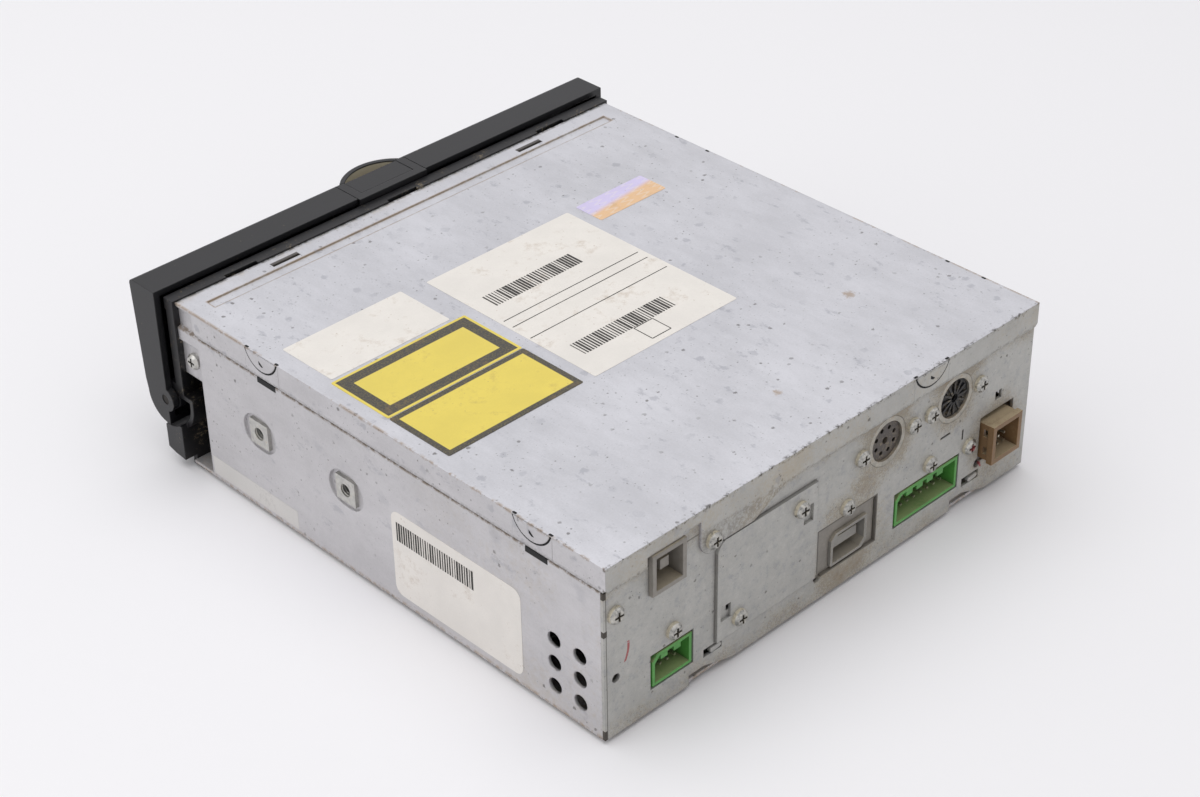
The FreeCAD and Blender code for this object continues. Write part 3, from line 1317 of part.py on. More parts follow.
def make_flap_door():
    """Hollow front flap, open to the rear, with a notch for the latch in its top edge."""
    half = flap_width / 2
    cheek = half - frame_width / 2 - cheek_gap
    shell = prism("flap_shell", "yz", flap_outline(0, flap_rear), (-half, half))
    hollow = prism("flap_hollow", "yz", flap_outline(flap_wall, flap_rear + 2),
                   (-half + cheek, half - cheek))
    notch_half = latch_width / 2 + moving_gap
    notch = block("flap_notch", (-notch_half, notch_half), (flap_front - 5, flap_rear + 1),
                  (latch_low - latch_drop, flap_top + 1))
    taken = [notch]
    sill_top = latch_low - latch_drop
    added = [block("flap_sill", (-notch_half - flap_rib, notch_half + flap_rib),
                   (flap_front_low, flap_rear - 1), (sill_top - flap_rib, sill_top))]
    for label, side in (("left", 1), ("right", -1)):
        rib = side_span(side, notch_half, notch_half + flap_rib)
        added.append(block("flap_rib_" + label, rib, (flap_front_low, flap_rear - 1),
                           (latch_low - latch_drop - flap_rib, flap_top - flap_wall / 2)))
        lug = side_span(side, half - cheek, half)
        added.append(rod("flap_lug_" + label, "x", (hinge_y, hinge_z), lug, hinge_lug))
        taken.append(rod("flap_hinge_hole_" + label, "x", (hinge_y, hinge_z),
                         side_span(side, half - cheek - 1, half + 1), hinge_pin_radius + running_gap))
        taken.append(rod("flap_pin_hole_" + label, "x", (latch_axis_y, latch_axis_z),
                         side_span(side, notch_half - 1, notch_half + flap_rib), latch_pin_radius))
    whole = fuse("flap_whole", cut("flap_open", shell, hollow), *added)
    piece("flap_door", cut("flap_door", whole, *taken))


def make_flap_latch():
    """Latch block in the flap's top edge, with a half-round finger lip and its pocket."""
    half = latch_width / 2
    slope = (flap_front_low - flap_front) / (flap_top - flap_fillet - hinge_z - 4)
    low_front = flap_front + slope * (flap_top - flap_fillet - latch_low)
    corners = [
        (latch_rear, latch_low),
        (latch_rear, flap_top),
        (flap_front + flap_fillet, flap_top, flap_fillet, 1),
        (flap_front, flap_top - flap_fillet),
        (low_front, latch_low),
    ]
    body = prism("latch_body", "yz", corners, (-half, half))
    lip_middle = flap_front - lip_bulge + lip_radius
    disc = rod("latch_lip_disc", "z", (0, lip_middle), (lip_low, flap_top), lip_radius)
    behind = block("latch_lip_behind", (-lip_radius - 1, lip_radius + 1),
                   (flap_front + 1, lip_middle + lip_radius + 1), (lip_low - 1, flap_top + 1))
    lip = cut("latch_lip", disc, behind)
    pocket_disc = rod("latch_pocket_disc", "z", (0, lip_middle), (pocket_floor, flap_top + 1),
                      lip_radius - latch_wall)
    pocket_behind = block("latch_pocket_behind", (-lip_radius, lip_radius),
                          (latch_rear - latch_wall * 2, lip_middle + lip_radius),
                          (pocket_floor - 1, flap_top + 2))
    pocket_sides = [block("latch_pocket_side_" + label, side_span(side, half - latch_wall * 2, lip_radius),
                          (flap_front - lip_bulge - 1, latch_rear), (pocket_floor - 1, flap_top + 2))
                    for label, side in (("left", 1), ("right", -1))]
    pocket = cut("latch_pocket", pocket_disc, pocket_behind, *pocket_sides)
    hollow = block("latch_hollow", (-half + latch_wall, half - latch_wall),
                   (flap_front_low + latch_wall, latch_rear - latch_wall),
                   (latch_low - 1, pocket_floor - latch_wall))
    bore = rod("latch_bore", "x", (latch_axis_y, latch_axis_z), (-half - 1, half + 1),
               latch_pin_radius + running_gap)
    whole = fuse("latch_whole", body, lip)
    piece("flap_latch", cut("flap_latch", whole, pocket, hollow, bore))


def make_front_hardware():
    """Hinge pins, latch pin, springs, felts, eject button and the frame's screws."""
    half = frame_width / 2
    pins = []
    springs = []
    screws = []
    for label, side in (("left", 1), ("right", -1)):
        pins.append(rod("hinge_pin_" + label, "x", (hinge_y, hinge_z),
                        side_span(side, pin_inner, flap_width / 2 - 0.2), hinge_pin_radius))
        screws.append(pan_screw("bezel_screw_" + label, "x", (tab_screw_y, tab_screw_z),
                                covered_outer * side, side, shank_length))
        coil_outer = rod("flap_coil_outer_" + label, "x", (hinge_y, hinge_z),
                         side_span(side, pin_inner + 1, half - hinge_lug_gauge),
                         hinge_pin_radius + moving_gap + spring_wire)
        coil_inner = rod("flap_coil_inner_" + label, "x", (hinge_y, hinge_z),
                         side_span(side, pin_inner, half), hinge_pin_radius + moving_gap)
        springs.append(cut("flap_coil_" + label, coil_outer, coil_inner))
    piece("flap_hinge_pins", group("flap_hinge_pins", *pins))
    piece("flap_spring", group("flap_spring", *springs))
    piece("bezel_screws", group("bezel_screws", *screws))
    notch_half = latch_width / 2 + moving_gap
    reach = notch_half + flap_rib - 0.3
    piece("latch_pin", rod("latch_pin", "x", (latch_axis_y, latch_axis_z), (-reach, reach),
                           latch_pin_radius))
    leaf_top = latch_low - latch_drop - flap_rib
    piece("latch_spring", block("latch_spring", (-notch_half, notch_half),
                                (flap_rear - 4, flap_rear - 3.6), (leaf_top - 8, leaf_top)))
    slot_middle = (slot_low + slot_high) / 2
    felts = [
        block("felt_low", (-slot_width / 2, slot_width / 2), (fascia_rear, fascia_rear + felt_gauge),
              (slot_low - 2, slot_middle - felt_gap / 2)),
        block("felt_high", (-slot_width / 2, slot_width / 2), (fascia_rear, fascia_rear + felt_gauge),
              (slot_middle + felt_gap / 2, slot_high + 2)),
    ]
    piece("slot_felts", group("slot_felts", *felts))
    cap_front = fascia_rear - fascia_gauge - button_travel - 0.5
    cap = button_shape("button_cap", (cap_front, fascia_rear), 0)
    flange = button_shape("button_flange", (fascia_rear, fascia_rear + 0.8), 1.0)
    piece("eject_button", fuse("eject_button", cap, flange))


make_bezel_frame()
make_flap_door()
make_flap_latch()
make_front_hardware()

# Electronics: boards, their screws and parts, the shelf of the socket board


def upper_boss_spots():
    """Bosses of the shelf under the socket board."""
    return [(shelf_boss_x * side, y) for side in (1, -1)
            for y in (shelf_front + shelf_boss_radius + 1, shelf_rear - shelf_boss_radius - 1)]


def make_boards():
    """Main board on the floor's stand-offs, socket board on its shelf, and their screws."""
    board_bottom = floor_top + standoff_height
    plate = block("main_plate", (-board_half, board_half), (board_front, rear_inner - board_rear_gap),
                  (board_bottom, lower_board_top))
    holes = [rod("main_hole_%d" % n, "z", place, (board_bottom - 1, lower_board_top + 1), screw_hole)
             for n, place in enumerate(standoff_spots())]
    piece("main_board", cut("main_board", plate, *holes))
    plate = block("upper_plate", (upper_board_right, upper_board_left),
                  (upper_board_front, rear_inner - board_rear_gap + 1), (upper_board_z, upper_board_top))
    holes = [rod("upper_hole_%d" % n, "z", place, (upper_board_z - 1, upper_board_top + 1), screw_hole)
             for n, place in enumerate(upper_boss_spots())]
    piece("socket_board", cut("socket_board", plate, *holes))
    screws = [pan_screw("main_screw_%d" % n, "z", place, lower_board_top, 1, shank_length)
              for n, place in enumerate(standoff_spots())]
    screws += [pan_screw("upper_screw_%d" % n, "z", place, upper_board_top, 1, shank_length - 1)
               for n, place in enumerate(upper_boss_spots())]
    piece("board_screws", group("board_screws", *screws))


def make_board_bracket():
    """Shelf across the case for the socket board, its ends turned up along the walls."""
    shelf = block("shelf_plate", (-wall_inner, wall_inner), (shelf_front, shelf_rear),
                  (shelf_z, shelf_z + sheet_gauge))
    ends = [block("shelf_end_" + label, side_span(side, wall_inner - sheet_gauge, wall_inner),
                  (shelf_front, shelf_rear), (shelf_z, shelf_z + 8))
            for label, side in (("left", 1), ("right", -1))]
    bosses = [rod("shelf_boss_%d" % n, "z", place, (shelf_z, upper_board_z), shelf_boss_radius)
              for n, place in enumerate(upper_boss_spots())]
    holes = [rod("shelf_hole_%d" % n, "z", place, (shelf_z - 1, upper_board_z + 1), screw_hole)
             for n, place in enumerate(upper_boss_spots())]
    slots = [block("shelf_slot_%d" % n, shift(x, (-12, 12)), (shelf_front + 6, shelf_rear - 6),
                   (shelf_z - 1, shelf_z + 2)) for n, x in enumerate((-66, 0, 66))]
    whole = fuse("shelf_whole", shelf, *ends, *bosses)
    piece("board_bracket", cut("board_bracket", whole, *holes, *slots))


def make_board_parts():
    """Chips and capacitors of the main board, and the switch board behind the button."""
    chips = []
    for number, (x, y, wide, deep) in enumerate(((-38, 40, 24, 24), (8, 46, 18, 12), (40, 40, 14, 20),
                                                 (-30, 100, 20, 14), (20, 110, 28, 28), (-42, 132, 12, 10))):
        chips.append(block("chip_%d" % number, shift(x, (-wide / 2, wide / 2)),
                           shift(y, (-deep / 2, deep / 2)), (lower_board_top, lower_board_top + chip_height)))
    piece("board_chips", group("board_chips", *chips))
    cans = []
    for number in range(4):
        place = (access.x + (number - 1.5) * (capacitor_radius * 2 + 2), capacitor_y)
        cans.append(rod("can_%d" % number, "z", place,
                        (lower_board_top, lower_board_top + capacitor_height), capacitor_radius))
    piece("board_capacitors", group("board_capacitors", *cans))
    board = block("switch_plate", shift(button_x, (-front_board_half, front_board_half)),
                  (front_board_y, front_board_y + board_gauge),
                  shift(button_z, (-front_board_tall / 2, front_board_tall / 2)))
    piece("front_board", group("front_board", board))
    switch = block("switch_body", shift(button_x, (-3, 3)), (fascia_rear + 3.4, front_board_y),
                   shift(button_z, (-3, 3)))
    plunger = rod("switch_plunger", "y", (button_x, button_z),
                  (fascia_rear + 0.8 + button_travel + moving_gap, front_board_y), 1.5)
    piece("eject_switch", fuse("eject_switch", switch, plunger))


make_boards()
make_board_bracket()
make_board_parts()

# Drive: deck on its dampers, roller feed, cam slider, clamp, turntable and pickup

deck_top = deck_z + sheet_gauge
deck_inner = deck_half - sheet_gauge


def turned_about(angle, y, z, axis_y, axis_z):
    """Where a point goes when it turns by degrees about an X axis."""
    swing = math.radians(angle.number)
    run = y.number - axis_y.number
    rise = z.number - axis_z.number
    return (axis_y + (run * math.cos(swing) - rise * math.sin(swing)),
            axis_z + (run * math.sin(swing) + rise * math.cos(swing)))


def slot_between(name, start, end, half, across):
    """A slot with round ends between two points of a side view."""
    run = as_size(end[0]).number - as_size(start[0]).number
    rise = as_size(end[1]).number - as_size(start[1]).number
    length = math.hypot(run, rise)
    off_y = half * (-rise / length)
    off_z = half * (run / length)
    on_y = half * (run / length)
    on_z = half * (rise / length)
    corners = [
        (start[0] + off_y, start[1] + off_z, half, 1),
        (start[0] - on_y, start[1] - on_z, half, 1),
        (start[0] - off_y, start[1] - off_z),
        (end[0] - off_y, end[1] - off_z, half, 1),
        (end[0] + on_y, end[1] + on_z, half, 1),
        (end[0] + off_y, end[1] + off_z),
    ]
    return prism(name, "yz", corners, across)


def damper_spots():
    """The four damper bushes."""
    return [(damper_x * side, y) for side in (1, -1) for y in (damper_front, damper_rear)]


def make_suspension():
    """Rails on the side walls, with a pin for each rubber bush."""
    parts = []
    for label, side in (("left", 1), ("right", -1)):
        shelf = block("rail_shelf_" + label, side_span(side, rail_inner, wall_inner),
                      (rail_front, rail_rear), (rail_z, rail_z + sheet_gauge))
        flange = block("rail_flange_" + label, side_span(side, wall_inner - sheet_gauge, wall_inner),
                       (rail_front, rail_rear), (rail_z, rail_top))
        pins = [rod("rail_pin_%s_%d" % (label, n), "z", (damper_x * side, y),
                    (rail_z + sheet_gauge / 2, deck_top + 3), damper_pin)
                for n, y in enumerate((damper_front, damper_rear))]
        hole = block("rail_hole_" + label, side_span(side, rail_inner + 3, wall_inner - 4),
                     (damper_front + 20, damper_rear - 20), (rail_z - 1, rail_z + 2))
        parts.append(cut("rail_" + label, fuse("rail_whole_" + label, shelf, flange, *pins), hole))
    piece("mech_brackets", group("mech_brackets", *parts))
    base = rail_z + sheet_gauge
    profile = [
        (damper_pin, 0),
        (damper_radius, 0),
        (damper_radius, deck_z - base),
        (damper_neck, deck_z - base),
        (damper_neck, deck_top - base),
        (damper_radius - 0.5, deck_top - base),
        (damper_radius - 1.2, deck_top + 1.6 - base),
        (damper_pin, deck_top + 1.6 - base),
    ]
    bushes = [turned("bush_%d" % n, "z", place, base, profile) for n, place in enumerate(damper_spots())]
    piece("damper_bushes", group("damper_bushes", *bushes))


def cam_end(pin_y, pin_z, angle, axis_y, axis_z):
    """A cam pin's place at the end of its swing."""
    return turned_about(angle, pin_y, pin_z, axis_y, axis_z)


roller_cam_end = cam_end(roller_cam_y, roller_cam_z, arm_angle, arm_y, arm_z)
clamp_cam_end = cam_end(clamp_cam_y, clamp_cam_z, clamp_angle, clamp_y, clamp_z)
shaft_end = cam_end(roller_y, roller_z, arm_angle, arm_y, arm_z)


def deck_walls():
    """Side walls of the deck, with a higher ear at the clamp arm's hinge."""
    made = []
    for label, side in (("left", 1), ("right", -1)):
        corners = [
            (deck_front + 2, deck_z),
            (deck_rear - 8, deck_z),
            (deck_rear - 8, clamp_z + 4),
            (clamp_y - 6, clamp_z + 4),
            (clamp_y - 9, deck_wall_top),
            (clamp_cam_y - 14, deck_wall_top),
            (clamp_cam_y - 22, deck_wall_top - 6),
            (arm_y + 18, deck_wall_top - 6),
            (arm_y + 10, deck_wall_top),
            (deck_front + 2, deck_wall_top),
        ]
        made.append(prism("deck_wall_" + label, "yz", corners, side_span(side, deck_inner, deck_half)))
    return made


def make_deck():
    """Deck plate with its side walls, damper ears, pivots and the loading motor's bracket."""
    plate = block("deck_plate", (-deck_half, deck_half), (deck_front, deck_rear), (deck_z, deck_top))
    added = deck_walls()
    taken = []
    for number, (x, y) in enumerate(damper_spots()):
        side = 1 if number < 2 else -1
        added.append(block("deck_ear_%d" % number,
                           side_span(side, deck_half, damper_x + damper_neck + 1.5),
                           (y - 6, y + 6), (deck_z, deck_top)))
        taken.append(rod("deck_ear_hole_%d" % number, "z", (x, y), (deck_z - 1, deck_top + 1), damper_neck))
    for label, side in (("left", 1), ("right", -1)):
        added.append(rod("deck_arm_stud_" + label, "x", (arm_y, arm_z),
                         side_span(side, arm_inner, deck_half), cam_pin_radius))
        taken.append(rod("deck_clamp_hole_" + label, "x", (clamp_y, clamp_z),
                         side_span(side, deck_inner - 1, deck_half + 1), shaft_radius + running_gap))
    cam_side = (deck_inner - 1, deck_half + 1)
    slot_half = cam_pin_radius + cam_gap * 2
    taken.append(slot_between("deck_roller_cam_slot", (roller_cam_y, roller_cam_z), roller_cam_end,
                              slot_half, cam_side))
    taken.append(slot_between("deck_clamp_cam_slot", (clamp_cam_y, clamp_cam_z), clamp_cam_end,
                              slot_half, cam_side))
    taken.append(slot_between("deck_shaft_slot", (roller_y, roller_z), shaft_end,
                              shaft_radius + cam_gap * 2, (-deck_half - 1, -deck_inner + 1)))
    for number, (y, z) in enumerate(guide_studs()):
        added.append(rod("deck_stud_%d" % number, "x", (y, z),
                         (deck_inner, slider_inner + slider_gauge + cam_gap), cam_pin_radius))
        added.append(rod("deck_stud_head_%d" % number, "x", (y, z),
                         (slider_inner + slider_gauge + cam_gap, slider_inner + slider_gauge + 1),
                         cam_pin_radius * 2))
    for number, y in enumerate((drive_y, idler_y)):
        taken.append(rod("deck_axle_hole_%d" % number, "x", (y, drive_z),
                         (-deck_half - 1, -deck_inner + 1), axle_radius))
    bracket = block("deck_motor_bracket", (-worm_x - motor_flat, -deck_half),
                    (motor_front - 1.5, motor_front), (deck_z, worm_z + 4))
    added.append(bracket)
    taken.append(rod("deck_motor_hole", "y", (-worm_x, worm_z), (motor_front - 3, motor_front + 1),
                     worm_radius + 1))
    taken.append(block("deck_opening", (lead_x - sled_radius - 1, guide_x + 8.5),
                       (traverse_front + 8, traverse_rear - 9), (deck_z - 1, deck_top + 1)))
    whole = fuse("deck_whole", plate, *added)
    piece("mech_deck", cut("mech_deck", whole, *taken))


def guide_studs():
    """Studs that guide the cam slider."""
    return [(arm_y + 14, arm_z - 2), (clamp_cam_y - 14, arm_z + 4)]


motor_front = arm_y


def make_disc_guide():
    """Guide over the feed roller: a plate with two ribs, highest at the middle."""
    low = roller_z + roller_radius + 1.4
    plate = block("guide_plate", (-deck_inner, deck_inner), (deck_front, arm_y + 2),
                  (deck_wall_top - 2.2, deck_wall_top - 1))
    ribs = []
    for number, y in enumerate((roller_y - 2, roller_y + 8, arm_y - 2)):
        corners = [
            (-deck_inner, low),
            (0, low + 1),
            (deck_inner, low),
            (deck_inner, deck_wall_top - 2),
            (-deck_inner, deck_wall_top - 2),
        ]
        ribs.append(prism("guide_rib_%d" % number, "xz", corners, (y, y + 1.5)))
    piece("disc_guide", fuse("disc_guide", plate, *ribs))


def make_roller_arm():
    """Arm plates at both ends of the roller, joined by a bar, with one cam pin."""
    parts = []
    taken = []
    for label, side in (("left", 1), ("right", -1)):
        span = side_span(side, arm_inner, arm_inner + arm_gauge)
        corners = [
            (roller_y - 3.2, roller_z - 1.5),
            (roller_cam_y - 2, roller_cam_z - 2.2),
            (roller_cam_y + 2, roller_cam_z - 2.2),
            (arm_y + 3, arm_z - 2),
            (arm_y + 3, arm_z + 2),
            (arm_y, arm_z + 3.2),
            (roller_y + 1, roller_z + 3.2),
            (roller_y - 2.4, roller_z + 2.4),
        ]
        parts.append(prism("arm_plate_" + label, "yz", corners, span))
        taken.append(rod("arm_pivot_" + label, "x", (arm_y, arm_z),
                         side_span(side, arm_inner - 1, arm_inner + arm_gauge + 1),
                         cam_pin_radius + running_gap))
        taken.append(rod("arm_bearing_" + label, "x", (roller_y, roller_z),
                         side_span(side, arm_inner - 1, arm_inner + arm_gauge + 1),
                         shaft_radius + running_gap))
    bar = block("arm_bar", (-arm_inner, arm_inner), (arm_y - 9, arm_y - 5), (arm_z - 1, arm_z + 0.4))
    pin = rod("arm_cam_pin", "x", (roller_cam_y, roller_cam_z),
              (arm_inner, slider_inner + slider_gauge + 0.3), cam_pin_radius)
    whole = fuse("arm_whole", bar, pin, *parts)
    piece("roller_arm", cut("roller_arm", whole, *taken))


def make_roller():
    """Roller shaft, its rubber sleeve that narrows to the middle, and the gear on its end."""
    end = arm_inner + arm_gauge
    piece("roller_shaft", rod("roller_shaft", "x", (roller_y, roller_z),
                              (-gear_inner - gear_width - 0.5, end), shaft_radius))
    profile = [
        (shaft_radius, 0),
        (roller_radius, 0),
        (roller_waist, roller_half),
        (roller_radius, roller_half * 2),
        (shaft_radius, roller_half * 2),
    ]
    piece("feed_roller", turned("feed_roller", "x", (roller_y, roller_z), -roller_half, profile))


def gear(name, place, start, teeth, bore, phase):
    """A spur gear about an X axis: a root disc, one tooth, and its copies round the disc."""
    pitch = gear_module * (teeth / 2)
    root_radius = pitch - gear_module * 1.15
    tip = pitch + gear_module * 0.75
    body = doc.addObject("PartDesign::Body", name)
    disc = body.newObject("Sketcher::SketchObject", name + "_root")
    disc.AttachmentSupport = [(origin_plane(body, "XY_Plane"), "")]
    disc.MapMode = "FlatFace"
    for radius in (root_radius, as_size(bore)):
        edge = disc.addGeometry(Part.Circle(Vector(), Vector(0, 0, 1), radius.number), False)
        disc.addConstraint(Sketcher.Constraint("Coincident", edge, 3, -1, 1))
        held = disc.addConstraint(Sketcher.Constraint("Radius", edge, radius.number))
        disc.setExpression("Constraints[%d]" % held, radius.formula)
    wheel = body.newObject("PartDesign::Pad", name + "_disc")
    wheel.Profile = disc
    tie(wheel, "Length", gear_width)
    tooth = body.newObject("Sketcher::SketchObject", name + "_tooth_outline")
    tooth.AttachmentSupport = [(origin_plane(body, "XY_Plane"), "")]
    tooth.MapMode = "FlatFace"
    foot = gear_module * 0.95
    crown = gear_module * 0.38
    draw(tooth, [(root_radius * 0.96, -foot), (tip, -crown), (tip, crown), (root_radius * 0.96, foot)])
    pad = body.newObject("PartDesign::Pad", name + "_tooth")
    pad.Profile = tooth
    tie(pad, "Length", gear_width)
    ring = body.newObject("PartDesign::PolarPattern", name + "_teeth")
    ring.Originals = [pad]
    ring.Axis = (disc, ["N_Axis"])
    ring.Angle = 360
    ring.Occurrences = teeth
    body.Tip = ring
    put(body, *spot("x", place, start), turn=Rotation(Vector(1, 0, 0), phase) * PLANES["yz"])
    return body


def make_gears():
    """Roller gear, drive gear, and the idler with its worm wheel; then their axles."""
    to_drive = math.degrees(math.atan2((drive_z - roller_z).number, (drive_y - roller_y).number))
    tooth_angle = 360.0 / 18
    drive_phase = to_drive + 180
    lead = (drive_phase % tooth_angle) * 18.0 / 12
    row = -gear_inner - gear_width
    piece("roller_gear", gear("roller_gear", (roller_y, roller_z), row, 18, shaft_radius,
                              to_drive + tooth_angle / 2))
    axle_bore = axle_radius + running_gap
    piece("drive_gear", gear("drive_gear", (drive_y, drive_z), row, 18, axle_bore, drive_phase))
    pinion = gear("idler_pinion", (idler_y, drive_z), row, 12, axle_bore, 180 + 15 - lead)
    wheel = gear("idler_wheel", (idler_y, drive_z), -wheel_inner - gear_width, 36, axle_bore, 0)
    hub = rod("idler_hub", "x", (idler_y, drive_z), (-wheel_inner, row), gear_module * 4.5)
    hub_bore = rod("idler_hub_bore", "x", (idler_y, drive_z), (-wheel_inner - 1, row + 1), axle_bore)
    piece("idler_gear", fuse("idler_gear", pinion, wheel, cut("idler_hub_open", hub, hub_bore)))
    axles = [rod("axle_drive", "x", (drive_y, drive_z), (row - 0.8, -deck_inner), axle_radius),
             rod("axle_idler", "x", (idler_y, drive_z), (-wheel_inner - gear_width - 0.8, -deck_inner),
                 axle_radius)]
    piece("gear_axles", group("gear_axles", *axles))


def make_loading_motor():
    """Loading motor with two flats, and the worm on its shaft."""
    place = (-worm_x, worm_z)
    can = rod("motor_can", "y", place, (motor_front, motor_front + motor_length), motor_radius)
    flats = [block("motor_flat_%d" % n, span, (motor_front - 1, motor_front + motor_length + 1),
                   (worm_z - 9, worm_z + 9))
             for n, span in enumerate(((-worm_x + motor_flat, -worm_x + 10),
                                       (-worm_x - 10, -worm_x - motor_flat)))]
    boss = rod("motor_boss", "y", place, (motor_front - 2.5, motor_front), worm_radius + 1)
    bore = rod("motor_bore", "y", place, (motor_front - 3, motor_front + 6), axle_radius + running_gap)
    body = fuse("motor_body", cut("motor_can_cut", can, *flats), boss)
    piece("loading_motor", cut("loading_motor", body, bore))
    shaft = rod("worm_shaft", "y", place, (motor_front - 20, motor_front + 5), axle_radius)
    thread = rod("worm_thread", "y", place, (motor_front - 18, motor_front - 4), worm_radius)
    piece("motor_worm", fuse("motor_worm", shaft, thread))


def slid(point):
    """A point at the end of the cam slider's travel, seen from the slider."""
    return point[0] - cam_travel, point[1]


def make_cam_slider():
    """Slider with a cam slot for the roller arm, one for the clamp arm, and guide slots."""
    corners = [
        (roller_cam_y - 14, roller_cam_z - 4),
        (clamp_cam_y + 4, roller_cam_z - 4),
        (clamp_cam_y + 4, clamp_cam_z + 3),
        (clamp_cam_y - 14, clamp_cam_z + 3),
        (clamp_cam_y - 22, roller_cam_z + 6),
        (roller_cam_y - 14, roller_cam_z + 6),
    ]
    outer = slider_inner + slider_gauge
    plate = prism("slider_plate", "yz", corners, (slider_inner, outer))
    across = (slider_inner - 1, outer + 1)
    half = cam_pin_radius + cam_gap
    taken = [
        slot_between("slider_roller_slot", (roller_cam_y, roller_cam_z), slid(roller_cam_end), half, across),
        slot_between("slider_clamp_slot", (clamp_cam_y, clamp_cam_z), slid(clamp_cam_end), half, across),
    ]
    for number, (y, z) in enumerate(guide_studs()):
        taken.append(slot_between("slider_guide_%d" % number, (y, z), (y - cam_travel, z),
                                  half, across))
    piece("cam_slider", cut("cam_slider", plate, *taken))


def make_clamp_arm():
    """Sheet arm hinged at the rear; a cam pin at its side pulls the puck down on the disc."""
    low = clamp_z - sheet_gauge / 2
    level = (low, low + sheet_gauge)
    corners = [
        (-clamp_half, clamp_y + 4),
        (-clamp_half, clamp_y - 6),
        (-clamp_blade, clamp_cam_y + 6),
        (-clamp_blade, disc_y, clamp_blade, 1),
        (0, disc_y - clamp_blade, clamp_blade, 1),
        (clamp_blade, disc_y),
        (clamp_blade, clamp_cam_y - 5),
        (arm_inner + 2, clamp_cam_y - 5),
        (arm_inner + 2, clamp_cam_y + 5),
        (clamp_half, clamp_y - 6),
        (clamp_half, clamp_y + 4),
    ]
    plate = prism("clamp_plate", "xy", corners, level)
    ear = block("clamp_ear", (arm_inner + 1, arm_inner + 2), (clamp_cam_y - 3, clamp_cam_y + 3),
                (clamp_cam_z - 2, low + sheet_gauge))
    pin = rod("clamp_cam_pin", "x", (clamp_cam_y, clamp_cam_z),
              (arm_inner + 1, slider_inner + slider_gauge + 0.3), cam_pin_radius)
    trunnions = [rod("clamp_trunnion_" + label, "x", (clamp_y, clamp_z),
                     side_span(side, clamp_half - 5, deck_half), shaft_radius)
                 for label, side in (("left", 1), ("right", -1))]
    hole = rod("clamp_hole", "z", (0, disc_y), (low - 1, low + 3), puck_neck + 0.6)
    window = block("clamp_window", (-clamp_blade * 1.6, clamp_blade * 1.6),
                   (clamp_y - 14, clamp_y - 5), (low - 1, low + 3))
    whole = fuse("clamp_whole", plate, ear, pin, *trunnions)
    piece("clamp_arm", cut("clamp_arm", whole, hole, window))
    springs = []
    for label, side in (("left", 1), ("right", -1)):
        span = side_span(side, clamp_half + 1, deck_inner)
        outer = rod("clamp_coil_outer_" + label, "x", (clamp_y, clamp_z), span,
                    shaft_radius + moving_gap + spring_wire)
        inner = rod("clamp_coil_inner_" + label, "x", (clamp_y, clamp_z),
                    side_span(side, clamp_half, deck_half), shaft_radius + moving_gap)
        springs.append(cut("clamp_coil_" + label, outer, inner))
    piece("clamp_spring", group("clamp_spring", *springs))


def make_clamp_puck():
    """Puck that hangs in the clamp arm's hole by its upper flange."""
    arm_low = (clamp_z - sheet_gauge / 2) - puck_z
    profile = [
        (0, 1.6),
        (hub_radius + 0.8, 1.6),
        (hub_radius + 0.8, 0),
        (puck_radius, 0),
        (puck_radius, 1.2),
        (puck_neck, arm_low - 0.7),
        (puck_neck, arm_low + sheet_gauge + 0.6),
        (puck_neck + 2.4, arm_low + sheet_gauge + 0.6),
        (puck_neck + 1.6, arm_low + sheet_gauge + 1.8),
        (0, arm_low + sheet_gauge + 1.8),
    ]
    piece("clamp_puck", turned("clamp_puck", "z", (0, disc_y), puck_z, profile))


def make_turntable():
    """Spindle motor, and the turntable with its centring hub, shaft and rubber pad."""
    base = traverse_z + traverse_gauge
    motor = rod("spindle_can", "z", (0, disc_y), (base, base + spindle_height), spindle_radius)
    boss = rod("spindle_boss", "z", (0, disc_y), (base + spindle_height, base + spindle_height + 2), 3)
    bore = rod("spindle_bore", "z", (0, disc_y), (base + 3, base + spindle_height + 3),
               axle_radius + running_gap)
    piece("spindle_motor", cut("spindle_motor", fuse("spindle_whole", motor, boss), bore))
    top = disc_z - pad_gauge
    profile = [
        (0, base + 4),
        (axle_radius, base + 4),
        (axle_radius, top - 4),
        (hub_radius * 0.6, top - 4),
        (hub_radius * 0.6, top - 1.5),
        (table_radius, top - 1.5),
        (table_radius, top),
        (hub_radius, top),
        (hub_radius - 0.9, disc_z + hub_rise),
        (0, disc_z + hub_rise),
    ]
    piece("turntable", turned("turntable", "z", (0, disc_y), 0, profile))
    outer = rod("pad_outer", "z", (0, disc_y), (top, disc_z), table_radius - 0.3)
    inner = rod("pad_inner", "z", (0, disc_y), (top - 1, disc_z + 1), hub_radius + 0.3)
    piece("turntable_pad", cut("turntable_pad", outer, inner))


